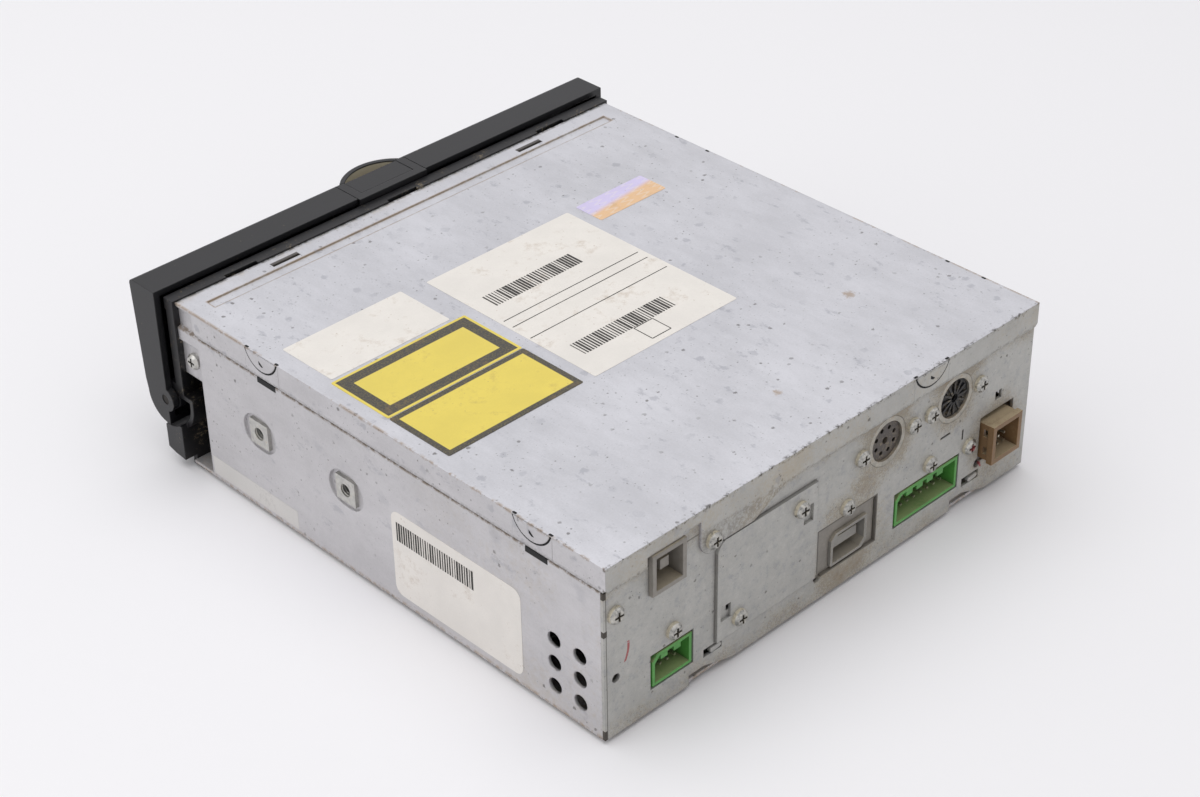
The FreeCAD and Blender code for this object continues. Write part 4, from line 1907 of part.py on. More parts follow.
def make_traverse():
    """Traverse frame on the deck, guide rods and their posts, sled motor and lead screw."""
    top = traverse_z + traverse_gauge
    plate = block("traverse_plate", (traverse_right, traverse_left), (traverse_front, traverse_rear),
                  (traverse_z, top))
    added = []
    for number, (x, y) in enumerate(((traverse_left - 4, traverse_front + 4),
                                     (traverse_left - 4, traverse_rear - 4),
                                     (traverse_right + 4, traverse_front + 4),
                                     (traverse_right + 4, traverse_rear - 4))):
        added.append(rod("traverse_foot_%d" % number, "z", (x, y), (deck_top, traverse_z), 3))
    taken = [block("traverse_pickup_opening", (-guide_x + 4, guide_x - 4),
                   (disc_y + spindle_radius + 3, guide_rear - 6), (traverse_z - 1, top + 1)),
             block("traverse_sled_opening", (lead_x - sled_radius - 0.5, lead_x + sled_radius + 0.5),
                   (sled_front - 0.5, sled_rear), (traverse_z - 1, top + 1))]
    rods = []
    for label, side in (("left", 1), ("right", -1)):
        rods.append(rod("guide_rod_" + label, "y", (guide_x * side, guide_z), (guide_front, guide_rear),
                        shaft_radius))
        for end, reach in (("front", (guide_front, guide_front + guide_post)),
                           ("rear", (guide_rear - guide_post, guide_rear))):
            added.append(block("traverse_post_%s_%s" % (label, end), shift(guide_x * side, (-3, 3)),
                               reach, (traverse_z, guide_z + 2.6)))
        taken.append(rod("traverse_rod_hole_" + label, "y", (guide_x * side, guide_z),
                         (guide_front - 1, guide_rear + 1), shaft_radius))
    added.append(block("traverse_screw_post", shift(lead_x, (-3, 3)), (guide_rear - guide_post, guide_rear),
                       (traverse_z, guide_z + 2.6)))
    added.append(block("traverse_sled_post", shift(lead_x, (-sled_radius - 3, sled_radius + 3)),
                       (sled_rear, sled_rear + 1.2), (traverse_z, guide_z + 2.6)))
    taken.append(rod("traverse_screw_hole", "y", (lead_x, guide_z), (sled_rear - 1, guide_rear + 1),
                     shaft_radius + running_gap))
    whole = fuse("traverse_whole", plate, *added)
    piece("traverse_frame", cut("traverse_frame", whole, *taken))
    piece("guide_rods", group("guide_rods", *rods))
    can = rod("sled_can", "y", (lead_x, guide_z), (sled_front, sled_rear), sled_radius)
    bore = rod("sled_bore", "y", (lead_x, guide_z), (sled_front + 4, sled_rear + 1),
               axle_radius + running_gap)
    piece("sled_motor", cut("sled_motor", can, bore))
    screw = rod("lead_thread", "y", (lead_x, guide_z), (sled_rear + 0.1, guide_rear - 0.5), shaft_radius)
    shaft = rod("lead_shaft", "y", (lead_x, guide_z), (sled_front + 5, sled_rear + 1), axle_radius)
    piece("lead_screw", fuse("lead_screw", screw, shaft))


def make_pickup():
    """Pickup body on both rods, with a nut on the lead screw and the lens in its well."""
    lens_y = disc_y + lens_start
    along = (lens_y - pickup_front, lens_y + pickup_rear)
    body = block("pickup_wide", (-guide_x - 3.5, guide_x + 3.5), along, (guide_z - 2.8, guide_z + 3))
    upper = block("pickup_upper", (-guide_x + 6, guide_x - 6), along, (guide_z, pickup_top))
    nut = block("pickup_nut", (lead_x - 3, -guide_x), (along[0] + 2, along[0] + 9),
                (guide_z - 2.4, guide_z + 2.6))
    taken = [rod("pickup_bore_" + label, "y", (guide_x * side, guide_z), (along[0] - 1, along[1] + 1),
                 shaft_radius + running_gap)
             for label, side in (("left", 1), ("right", -1))]
    taken.append(rod("pickup_nut_bore", "y", (lead_x, guide_z), (along[0] - 1, along[1] + 1),
                     shaft_radius + running_gap))
    well = 6.2
    taken.append(block("pickup_well", (-well, well), (lens_y - 4.8, lens_y + 4.8),
                       (pickup_top - 2, pickup_top + 1)))
    whole = fuse("pickup_whole", body, upper, nut)
    piece("pickup_body", cut("pickup_body", whole, *taken))
    floor = pickup_top - 2 + lens_travel + 0.3
    holder = block("lens_block", (-well + 0.6, well - 0.6), (lens_y - 4.2, lens_y + 4.2),
                   (floor, floor + 1.6))
    lens = taper("lens_dome", "z", (0, lens_y), (floor + 1.6, floor + 2.3), lens_radius, lens_radius * 0.6)
    piece("lens_holder", fuse("lens_holder", holder, lens))


make_suspension()
make_deck()
make_disc_guide()
make_roller_arm()
make_roller()
make_gears()
make_loading_motor()
make_cam_slider()
make_clamp_arm()
make_clamp_puck()
make_turntable()
make_traverse()
make_pickup()


def finish():
    """Checks every object, then writes one file for each sub-part."""
    doc.recompute()
    for obj in doc.Objects:
        if "Invalid" in obj.State or "Error" in obj.State:
            raise RuntimeError("not built: %s %s" % (obj.Name, obj.State))
    os.makedirs("parts", exist_ok=True)
    for name, made in sorted(pieces.items()):
        shape = made.Shape
        if shape.isNull() or not shape.isValid() or not shape.Solids:
            raise RuntimeError("bad shape: " + name)
        shape.exportStep("parts/%s.step" % name)
        print("%-22s %2d solids %10.1f mm3" % (name, len(shape.Solids), shape.Volume))


finish()
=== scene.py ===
"""Looks of a car navigation disc drive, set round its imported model."""

import functools
import json
import math

import bmesh
import bpy
from bpy.props import FloatProperty, FloatVectorProperty, IntProperty, PointerProperty
from mathutils import Matrix, Vector

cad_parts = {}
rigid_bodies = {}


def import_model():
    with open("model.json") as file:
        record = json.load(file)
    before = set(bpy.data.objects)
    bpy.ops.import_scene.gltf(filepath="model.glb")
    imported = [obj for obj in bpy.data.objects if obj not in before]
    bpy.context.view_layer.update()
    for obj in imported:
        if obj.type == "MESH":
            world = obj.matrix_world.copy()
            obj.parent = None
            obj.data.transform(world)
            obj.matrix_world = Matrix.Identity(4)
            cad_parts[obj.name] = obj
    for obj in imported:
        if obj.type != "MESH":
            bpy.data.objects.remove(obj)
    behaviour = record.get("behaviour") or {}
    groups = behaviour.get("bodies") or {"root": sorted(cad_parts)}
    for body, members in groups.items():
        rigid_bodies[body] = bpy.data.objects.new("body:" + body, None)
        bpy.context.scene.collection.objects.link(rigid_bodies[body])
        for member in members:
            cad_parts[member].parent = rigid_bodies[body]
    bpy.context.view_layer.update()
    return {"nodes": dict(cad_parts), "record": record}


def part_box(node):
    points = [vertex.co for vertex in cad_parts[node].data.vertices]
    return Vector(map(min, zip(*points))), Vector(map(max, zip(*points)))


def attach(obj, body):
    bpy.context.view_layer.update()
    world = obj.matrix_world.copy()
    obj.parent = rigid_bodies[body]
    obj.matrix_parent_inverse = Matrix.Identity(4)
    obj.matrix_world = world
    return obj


bl_info = {
    "name": "Disc drive looks",
    "version": (1, 0, 0),
    "blender": (4, 5, 0),
    "location": "3D View > Sidebar > Disc drive",
    "description": "Finishes, labels and stage of a car navigation disc drive",
    "category": "Object",
}

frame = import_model()

MM = 0.001
CASE_TALL = 58 * MM
SHEET_GAUGE = 1 * MM
LID_LOW, LID_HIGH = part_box("top_cover")
CASE_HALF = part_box("chassis_base")[1].x
LID_TOP = LID_HIGH.z
CASE_FRONT = LID_LOW.y
REAR_FACE = LID_HIGH.y - SHEET_GAUGE
FLOOR = LID_TOP - CASE_TALL
X, Y, Z = Vector((1, 0, 0)), Vector((0, 1, 0)), Vector((0, 0, 1))

# Forms of the case that its finishes follow, each a middle and a half: across the case from its middle,
# along it from its front edge, or high over its floor.
GROOVE_ACROSS, GROOVE_ALONG = (0.0, 82 * MM), (8.55 * MM, 2.05 * MM)
SLOT_ACROSS, SLOT_ALONG = (50.5 * MM, 5.2 * MM), (3.8 * MM, 1.1 * MM)
CATCHES_ALONG, CATCH_HIGH = ((42.6 * MM, 4.3 * MM), (156.2 * MM, 4.3 * MM)), (48.9 * MM, 1.1 * MM)
PLATE_ACROSS, PLATE_HIGH = (27.4 * MM, 20.15 * MM), (26.45 * MM, 17.1 * MM)
MOUTH_ACROSS, MOUTH_HIGH = (-7.1 * MM, 12.5 * MM), (16 * MM, 8.1 * MM)

# Single lines of the case: lower edge of the lid's skirt and middle of the round sockets, both over the
# floor, and the line between the two round sockets, from the middle.
SKIRT_EDGE = 49.8 * MM
ROUND_SOCKETS_HIGH = 41 * MM
BETWEEN_ROUND_SOCKETS = -38 * MM

# Marks of use, and gaps painted dark as shade, in millimetres.
LID_SCABS = ((-53.6, 139.2, 2.4), (-0.5, 158.9, 1.7))  # across, along, radius
REAR_SMUDGES = ((-22.8, 41, 8, 10), (-53, 41, 8, 8), (-7.5, 16, 10, 11), (-73.5, 19, 9, 9),
                (-14, 29, 2, 11))  # across, high, radius, fade
SCREW_DOT = (-61.2, 20.1, 0.9, 0.3)  # across, high, radius, fade
CORNER_GAPS = ((36, 1, 1.2), (48.6, 1.2, 1.0), (1.6, 1.6, 0.9))  # high, half height, width
PEN_STROKES = ((-0.2, (80.9, 26.2, 3.4, -0.6, 0.42)),
               (0.3, (-67.7, 10.6, 1.5, 0.2, 0.4)))  # slant; across, high, reach, bow, half width

# Printing of the large label, and the small hole of a snap tab, in millimetres; the hole is a dark plate of
# painted shade.
LID_BARS = ((32, 3, (6.6, 66.4, 35.5, 6.6)),
            (34, 8, (5.5, 103.6, 37.5, 6.6)))  # count, seed; across, along, length, height
LID_RULES = ((0.4, 77.5, 55.2), (0.6, 81.7, 55.4), (0.7, 89.7, 56))  # across, along, length
TAB_HOLE = ((-0.9, 0.7), (-0.9, -0.5), (0.2, -1.1), (1.1, -0.9))
PRINT_HIGH = 1.62  # printing over the sheet under its label, in gauges of the label

# Lamps: place, point that it looks at, and side.
KEY_LAMP = ((0.15, -0.1, 1.5), (0, 0, 0), 1.9)
SIDE_LAMP = ((1.5, -0.5, 0.9), (0, 0, 0.03), 1.2)


def metres(values):
    """Values in millimetres as metres."""
    return tuple(value * MM for value in values)


def tone(red, green, blue):
    """A colour given as it reads on a screen, 0 to 255, as linear light."""
    return tuple((value / 255) ** 2.2 for value in (red, green, blue)) + (1.0,)


def toned(base, factor):
    """A colour times a factor."""
    return tuple(min(1.0, value * factor) for value in base[:3]) + (1.0,)


def length(name, default, description):
    """A length that a user can change."""
    return FloatProperty(name=name, default=default, unit="LENGTH", precision=5, description=description)


def lengths(name, default, description):
    """Several lengths that belong together and that a user can change, given in millimetres."""
    return FloatVectorProperty(name=name, default=metres(default), size=len(default), unit="LENGTH",
                               precision=5, description=description)


def colour(name, screen, description):
    """A colour that a user can change, given as it reads on a screen."""
    return FloatVectorProperty(name=name, default=tone(*screen), size=4, min=0.0, max=1.0,
                               subtype="COLOR", description=description)


class DriveSheetLook(bpy.types.PropertyGroup):
    """Colours of the sheet metal and of what has settled on it."""

    lid: colour("Lid", (199, 199, 204), "plated sheet of the lid")
    wall: colour("Walls", (196, 194, 196), "plated sheet of the case's walls")
    rear: colour("Rear", (176, 175, 171), "plated sheet of the rear panel")
    inner: colour("Inside", (178, 178, 178), "sheet inside the case")
    bright: colour("Bright", (196, 195, 190), "bright plating of screws and nuts")
    nickel: colour("Nickel", (176, 172, 162), "shells of the plug sockets")
    # Dark dirt, and also the colour of painted shade in hollows, in recesses, round the lid's slots and along
    # the rear's dark lines.
    dirt_and_shade: colour("Dirt", (64, 58, 52), "dark dirt in seams")
    shadow: colour("Shadow", (24, 24, 25), "openings that lead into the dark case")
    smudge: colour("Smudge", (132, 134, 144), "thin grey smears")
    rust: colour("Rust", (150, 122, 88), "light rust along folds")
    dust: colour("Dust", (176, 160, 132), "tan dust")
    cream: colour("Cream", (206, 196, 172), "pale dust round the screws")
    pen: colour("Pen", (158, 62, 66), "red pen and paint marks")
    speck: length("Speck", 0.7 * MM, "radius of the larger dark specks")


class DriveMouldingLook(bpy.types.PropertyGroup):
    """Colours of the mouldings."""

    black: colour("Black", (17, 17, 20), "front flap and frame")
    scuff: colour("Scuff", (74, 74, 76), "worn edges of the black front")
    green: colour("Green", (82, 150, 70), "green sockets")
    brown: colour("Brown", (124, 97, 68), "brown socket")
    caramel: colour("Caramel", (168, 122, 66), "rubbed edges of the brown socket")
    grey: colour("Grey", (136, 131, 124), "grey socket")
    insulator: colour("Insulator", (74, 68, 64), "insert of the round socket beside the plate")
    pale_grey: colour("Pale grey", (140, 137, 132), "shell of the ribbon socket")
    gear: colour("Gears", (222, 218, 206), "gears of the loading drive")
    board: colour("Board", (28, 92, 52), "circuit boards")


class DriveLabelSizes(bpy.types.PropertyGroup):
    """Labels: gauge, colours and places, each a middle from the case's middle and front, and a size."""

    gauge: length("Gauge", 0.09 * MM, "thickness of a label")
    corner: length("Corner", 0.6 * MM, "rounded corners of a label")
    large: lengths("Large", (0.25, 80.95, 58.3, 72.5), "large label: across, along, width, length")
    small: lengths("Small", (60.3, 54.25, 44.4, 22.3), "small label: across, along, width, length")
    framed: lengths("Front yellow", (58.75, 79.1, 50.2, 25), "front yellow label: across, along, size")
    banded: lengths("Rear yellow", (58.75, 104.4, 50.2, 25), "rear yellow label: across, along, size")
    seal: lengths("Seal", (-47.3, 49.9, 28.6, 11.6), "seal: across, along, width, length")
    box: lengths("Ruled box", (0.35, 111, 7.6), "ruled box on the large label: across, along, side")
    rule: length("Rule", 0.3 * MM, "width of the printed rules")
    side: lengths("Side label", (122.75, 17.85, 53.1, 29.5), "side label: along, over the floor, size")
    side_corner: length("Side corner", 3 * MM, "rounded corners of the side label")
    strip: lengths("Tape strip", (31, 4.75, 41.2, 6.5), "tape on the side: along, over the floor, size")
    paper: colour("Paper", (229, 224, 218), "cream label stock")
    yellow: colour("Yellow", (226, 204, 88), "yellow label stock")
    ink: colour("Ink", (46, 43, 40), "printing")
    lilac: colour("Lilac", (206, 196, 232), "cold end of the seal")
    orange: colour("Orange", (226, 184, 136), "warm end of the seal")
    tape: colour("Tape", (206, 203, 200), "tape left on the side")


class DriveThreadSizes(bpy.types.PropertyGroup):
    """Threads that the solids leave out."""

    nut_pitch: length("Nut pitch", 0.8 * MM, "thread of the side nuts")
    nut_bore: length("Nut bore", 2.1 * MM, "radius of the tapped hole")
    nut_side: length("Nut side", 8.4 * MM, "square of the side nuts")
    inset: length("Inset", 1.4 * MM, "start of the thread from the wall's outside")
    ridge: length("Ridge", 0.22 * MM, "height of a thread's ridge")


class DriveFormSizes(bpy.types.PropertyGroup):
    """Small pressed and moulded forms that the solids leave out, from the case's front and middle."""

    tab_half: length("Snap tab", 6.9 * MM, "half the width of a snap tab")
    tab_drop: length("Snap tab, drop", 5.0 * MM, "how far a snap tab hangs below the fold")
    tab_slit: length("Snap tab, slit", 0.6 * MM, "slit round a snap tab")
    tab_proud: length("Snap tab, proud", 0.25 * MM, "snap tab outside the skirt")
    tabs_along: lengths("Snap tabs, along", (41.2, 154.8), "side snap tabs from the front edge")
    tab_back_x: length("Back snap tab", 40.0 * MM, "snap tab of the rear skirt from the middle")
    rib_count: IntProperty(name="Ribs", default=12, min=3, description="radial ribs of the far round socket")
    rib_wide: length("Rib, width", 0.7 * MM, "radial ribs")
    rib_tall: length("Rib, height", 0.7 * MM, "radial ribs over the insert's face")
    insert_radius: length("Insert", 6.4 * MM, "radius of a round insert")
    tab_chord: length("Snap tab, chord", 0.3 * MM, "straight upper edge of a snap tab below the fold")
    cover: lengths("Cover", (1.6, 7.3, 0.4, 4.2), "sheet round a tab: over its width, height, corner, drop")
    notch: lengths("Notch", (1.5, 0.8, 0.3, 0.45), "notch beside a tab: length, width, corner, from the edge")
    hole_drop: length("Snap tab, hole", 2.3 * MM, "small hole of a snap tab below its chord")
    rib_first: length("Rib, inner end", 1.4 * MM, "radial ribs from the insert's middle")
    rib_last: length("Rib, outer end", 0.9 * MM, "radial ribs from the insert's rim")
    hooks: lengths("Hooks", (48, 7.7, -63.2, 7.5), "hook slots: across and over the floor, twice")
    hook: lengths("Hook", (4.2, 1.5, 0.7), "bent hook: length, width, corner")
    cap_half: length("Latch cap", 10.7 * MM, "half the width of the latch's cap")
    cap_front: length("Latch cap, front", 16.4 * MM, "front of the cap from the case")
    cap_rear: length("Latch cap, rear", 7.7 * MM, "rear of the cap from the case")
    cap_gauge: length("Latch cap, gauge", 1.6 * MM, "thickness of the cap")


class DriveStageSizes(bpy.types.PropertyGroup):
    """Camera, floor and lamps."""

    azimuth: FloatProperty(name="Azimuth", default=math.radians(136.28), subtype="ANGLE",
                           description="camera round the object, from its front")
    elevation: FloatProperty(name="Elevation", default=math.radians(34.12), subtype="ANGLE",
                             description="camera over the horizon")
    roll: FloatProperty(name="Roll", default=math.radians(-1.02), subtype="ANGLE",
                        description="camera about its own axis")
    lens: FloatProperty(name="Lens", default=73.82, description="focal length on a 36 mm sensor")
    distance: length("Distance", 0.81081, "camera to the point that it looks at")
    aim: FloatVectorProperty(name="Aim", default=(-0.03743, -0.03288, -0.01262), unit="LENGTH",
                             description="point that the camera looks at")
    floor_half: length("Floor", 4.0, "half the floor's width")
    floor: colour("Floor colour", (242, 241, 244), "plain pale floor")
    world: FloatProperty(name="World", default=0.52, description="light from all round")
    key: FloatProperty(name="Key lamp", default=15.0, unit="POWER", description="large soft lamp overhead")
    side: FloatProperty(name="Side lamp", default=4.0, unit="POWER",
                        description="soft lamp on the label's side")


class Flow:
    """A socket of a node tree, with arithmetic that adds Math nodes."""

    def __init__(self, tree, socket):
        self.tree = tree
        self.socket = socket

    def math(self, operation, *values):
        """A Math node on these values."""
        return self.tree.node("ShaderNodeMath", {"operation": operation}, dict(enumerate(values)))

    def __add__(self, other):
        return self.math("ADD", self, other)

    def __sub__(self, other):
        return self.math("SUBTRACT", self, other)

    def __rsub__(self, other):
        return self.math("SUBTRACT", other, self)

    def __mul__(self, other):
        return self.math("MULTIPLY", self, other)

    def __truediv__(self, other):
        return self.math("DIVIDE", self, other)

    def __rtruediv__(self, other):
        return self.math("DIVIDE", other, self)

    def __abs__(self):
        return self.math("ABSOLUTE", self)

    __radd__ = __add__
    __rmul__ = __mul__

    def root(self):
        """Its square root."""
        return self.math("SQRT", self)

    def sine(self):
        """Its sine."""
        return self.math("SINE", self)

    def folded(self):
        """Up and down between nought and one as it grows."""
        return self.math("PINGPONG", self, 1.0)

    def low(self, other):
        """The smaller of the two."""
        return self.math("MINIMUM", self, other)

    def high(self, other):
        """The larger of the two."""
        return self.math("MAXIMUM", self, other)

    def rise(self, start, end):
        """Nought below start, one above end, smooth between; start may be the larger."""
        flip = start > end
        low, high = (end, start) if flip else (start, end)
        made = self.tree.node("ShaderNodeMapRange", {"interpolation_type": "SMOOTHSTEP"},
                              {"Value": self, "From Min": low, "From Max": high})
        return 1 - made if flip else made


class Tree:
    """A node tree to which nodes are added one by one."""

    def __init__(self, nodes):
        self.nodes = nodes

    def node(self, kind, settings, inputs, output=0):
        """Adds a node: settings first, then the values or links of its sockets."""
        made = self.nodes.nodes.new(kind)
        for name, value in settings.items():
            setattr(made, name, value)
        self.feed(made, inputs)
        return Flow(self, made.outputs[output])

    def feed(self, node, inputs):
        """Sets or links a node's sockets."""
        for name, value in inputs.items():
            if isinstance(value, Flow):
                self.nodes.links.new(value.socket, node.inputs[name])
            else:
                node.inputs[name].default_value = value

    def split(self, vector):
        """The three parts of a vector."""
        return (self.node("ShaderNodeSeparateXYZ", {}, {"Vector": vector}, axis) for axis in "XYZ")

    def vector(self, x=0.0, y=0.0, z=0.0):
        """A vector of three parts."""
        return self.node("ShaderNodeCombineXYZ", {}, {"X": x, "Y": y, "Z": z})


class Recipe(Tree):
    """One finish: a material with its own nodes, in the row's own coordinates."""

    def __init__(self, name):
        self.material = bpy.data.materials.new(name)
        self.material.use_nodes = True
        super().__init__(self.material.node_tree)
        self.place = self.node("ShaderNodeTexCoord", {}, {}, "Object")
        self.x, self.y, self.z = self.split(self.place)
        self.facing = self.node("ShaderNodeNewGeometry", {}, {}, "Normal")
        self.sideways, self.backwards, self.upwards = self.split(self.facing)

    def stretched(self, stretch, shift=0.0):
        """The row's coordinates, scaled along each axis."""
        return self.node("ShaderNodeMapping", {}, {"Vector": self.place, "Scale": stretch,
                                                   "Location": (shift, shift, shift)})

    def noise(self, size, detail=3.0, rough=0.55, stretch=(1.0, 1.0, 1.0), shift=0.0):
        """Cloudy noise whose blobs measure about size."""
        return self.node("ShaderNodeTexNoise", {}, {"Vector": self.stretched(stretch, shift),
                                                    "Scale": 1 / size, "Detail": detail, "Roughness": rough})

    def spots(self, spacing, radius, shift=0.0, ragged=0.5):
        """Ragged dots of mixed sizes, up to radius, about spacing apart in the solid."""
        gap = self.node("ShaderNodeTexVoronoi", {}, {"Vector": self.stretched((1.0, 1.0, 1.0), shift),
                                                     "Scale": 1 / spacing}, "Distance")
        edge = gap * spacing + (self.noise(radius, 2.0, 0.6, shift=shift) - 0.5) * (radius * ragged * 2)
        return edge.rise(radius, radius * 0.55)

    def rounded(self, radius):
        """The surface's direction, with its sharp edges turned over."""
        return self.node("ShaderNodeBevel", {"samples": 4}, {"Radius": radius}, "Normal")

    def edges(self, rounding):
        """One along sharp edges and nought on the flat, from the rounded direction."""
        along = self.node("ShaderNodeVectorMath", {"operation": "DOT_PRODUCT"},
                          {0: rounding, 1: self.facing}, "Value")
        return along.rise(0.97, 0.8)

    def shade_in_hollows(self, reach):
        """Painted shade from ambient occlusion: one deep in corners and recesses, nought in the open."""
        open_share = self.node("ShaderNodeAmbientOcclusion", {"samples": 6, "only_local": True},
                               {"Distance": reach}, "AO")
        return open_share.rise(0.92, 0.4)

    def mix(self, factor, first, second):
        """A colour between two colours."""
        return self.node("ShaderNodeMix", {"data_type": "RGBA"}, {0: factor, 6: first, 7: second}, 2)

    def shade(self, base, factor, low, high):
        """The base colour, darkened to low or lightened to high times itself."""
        return self.mix(factor, toned(base, low), toned(base, high))

    def relief(self, height, distance, strength=1.0, over=None):
        """A bump whose full height is distance, over the rounded direction if one is given."""
        inputs = {"Height": height, "Distance": distance, "Strength": strength}
        if over:
            inputs["Normal"] = over
        return self.node("ShaderNodeBump", {}, inputs, "Normal")

    def patch(self, across, along, soft):
        """One inside a box of two coordinates, each given as a flow, its middle and its half."""
        first, second = ((half - abs(flow - middle)).rise(-soft, soft)
                         for flow, middle, half in (across, along))
        return first * second

    def near_edge(self, across, along):
        """How far a point is from the outline of such a box."""
        return abs(highest(*(abs(flow - middle) - half for flow, middle, half in (across, along))))

    def coats(self, body, *layers):
        """Colours laid over a body one after the other, each given as its mask and itself."""
        for mask, coat in layers:
            body = self.mix(mask, body, coat)
        return body

    def paint(self, **sockets):
        """Sets the shader: spaces in a socket's name are written as underscores."""
        self.feed(self.nodes.nodes["Principled BSDF"],
                  {name.replace("_", " "): value for name, value in sockets.items()})
        return self.material


def highest(*flows):
    """The largest of several flows."""
    return functools.reduce(Flow.high, flows)


def away(first, second):
    """How far a point is from where both flows are nought."""
    return (first * first + second * second).root()


def plating(recipe, base, cloud_size):
    """Zinc plating: slow clouds, drawn grain and fine sparkle, as colour, tone and grain."""
    cloud = recipe.noise(cloud_size, 4.0, 0.6)
    drawn = recipe.noise(6 * MM, 5.0, 0.75, stretch=(1.0, 0.35, 1.0), shift=3.1)
    grain = recipe.noise(0.6 * MM, 3.0, 0.7)
    tones = cloud * 0.4 + drawn * 0.35 + grain * 0.25
    return recipe.shade(base, tones.rise(0.32, 0.68), 0.87, 1.09), tones, grain


def specks(recipe, radius, patch, shift=0.0):
    """Dark specks of three sizes, thicker where the patch is strong: one in the middle of a speck."""
    faint = recipe.noise(7 * MM, 2.0, 0.5, shift=shift).rise(0.3, 0.62) * 0.6 + 0.3
    large = recipe.spots(radius * 9.5, radius, 0.3 + shift, 0.9) * patch.rise(0.34, 0.5)
    small = recipe.spots(radius * 4.2, radius * 0.5, 1.9 + shift, 0.9) * patch.rise(0.31, 0.53)
    tiny = recipe.spots(radius * 2.1, radius * 0.28, 2.7 + shift, 0.8) * patch.rise(0.33, 0.57)
    return highest(large * 0.72, small * 0.62, tiny * 0.55) * faint


def smears(recipe, size, shift=0.0):
    """Soft dark smears, drawn out a little along the case."""
    streak = recipe.noise(size, 5.0, 0.72, stretch=(1.0, 0.55, 1.0), shift=6.6 + shift)
    return streak.rise(0.58, 0.7)


def spot_on_lid(recipe, x, along, radius):
    """One inside a ragged spot on the lid."""
    ragged = (recipe.noise(1.1 * MM, 4.0, 0.75, shift=3.6) - 0.5) * (radius * 2.4)
    return (away(recipe.x - x, recipe.y - CASE_FRONT - along) + ragged).rise(radius, radius * 0.3)


def make_lid_finish(look):
    """Lid: plating with specks and smears, tan lines round the groove, painted shade on the skirts by the way
    they face and round the slots.
    """
    r = Recipe("lid_plating")
    across = CASE_HALF - abs(r.x)
    behind = LID_HIGH.y - r.y
    under = LID_TOP - r.z
    ahead = r.y - CASE_FRONT
    coat, tones, grain = plating(r, look.lid, 45 * MM)
    # Painted shade: the skirts take darker tones than the top by the way they face, the rear skirt the rear
    # panel's and the side skirts the walls'.
    rear_facing_shade_coat = plating(r, look.rear, 24 * MM)[0]
    side_facing_shade_coat = plating(r, look.wall, 30 * MM)[0]
    patch = r.noise(34 * MM, 4.0, 0.65, shift=1.7)
    fine = r.noise(2.2 * MM, 4.0, 0.7, shift=5.3)
    ragged = r.noise(0.9 * MM, 4.0, 0.75, shift=7.3)
    turned = r.rounded(0.7 * MM)
    chipped = behind.high(under).rise(1.5 * MM, 0.2 * MM) * (ragged * 0.6 + fine * 0.5).rise(0.54, 0.66)
    rubbed = across.high(under).rise(1.0 * MM, 0.1 * MM) * (fine * 0.6 + patch * 0.6).rise(0.58, 0.7)
    outline = r.near_edge((r.x, *GROOVE_ACROSS), (ahead, *GROOVE_ALONG))
    groove = outline.rise(0.6 * MM, 0.1 * MM) * (fine * 0.5 + patch * 0.6).rise(0.36, 0.62)
    front = ahead.rise(1.3 * MM, 0.1 * MM) * (ragged * 0.5 + fine * 0.5).rise(0.4, 0.56)
    front_tan = ahead.rise(3.6 * MM, 0.6 * MM) * (fine * 0.5 + patch * 0.6).rise(0.5, 0.7)
    # Painted shade: a dark patch round each slot stands for the opening.
    slot_shade = r.patch((abs(r.x), *SLOT_ACROSS), (ahead, *SLOT_ALONG), 0.12 * MM)
    seam = (LID_LOW.z - r.z).rise(-9.2 * MM, -8.1 * MM) * (ragged * 0.6 + fine * 0.4).rise(0.4, 0.6)
    powder = r.backwards.rise(0.4, 0.8) * (ragged * 0.5 + patch * 0.6).rise(0.5, 0.75)
    halo = r.spots(look.speck * 10.5, look.speck * 2.2, 0.3, 0.9) * patch.rise(0.4, 0.6)
    scab = highest(*(spot_on_lid(r, *metres(spot)) for spot in LID_SCABS))
    dark = specks(r, look.speck, patch)
    # The soil mask carries dark specks and dirt, and the painted shade round each slot.
    soil_and_shade = highest(dark, chipped * 0.8, front * 0.85, seam * 0.35, slot_shade * 0.9)
    body = r.coats(
        coat,
        (r.backwards.rise(0.4, 0.8), rear_facing_shade_coat),
        (abs(r.sideways).rise(0.4, 0.8), side_facing_shade_coat),
        (highest(powder * 0.5, front_tan * 0.35), look.dust),
        (groove * 0.6, look.rust),
        (highest(rubbed * 0.6, scab * 0.6), look.rust),
        (highest(smears(r, 5 * MM) * 0.4, halo * 0.35), look.smudge),
        (soil_and_shade, look.dirt_and_shade),
    )
    soiled = highest(soil_and_shade, rubbed, groove * 0.7, powder * 0.6)
    return r.paint(
        Base_Color=body,
        Metallic=0.55 - soiled * 0.5,
        Roughness=0.38 + tones * 0.16 + soiled * 0.3,
        Normal=r.relief(grain * 0.3 + tones * 0.7 - dark * 0.5, 0.03 * MM, 0.6, turned),
    )


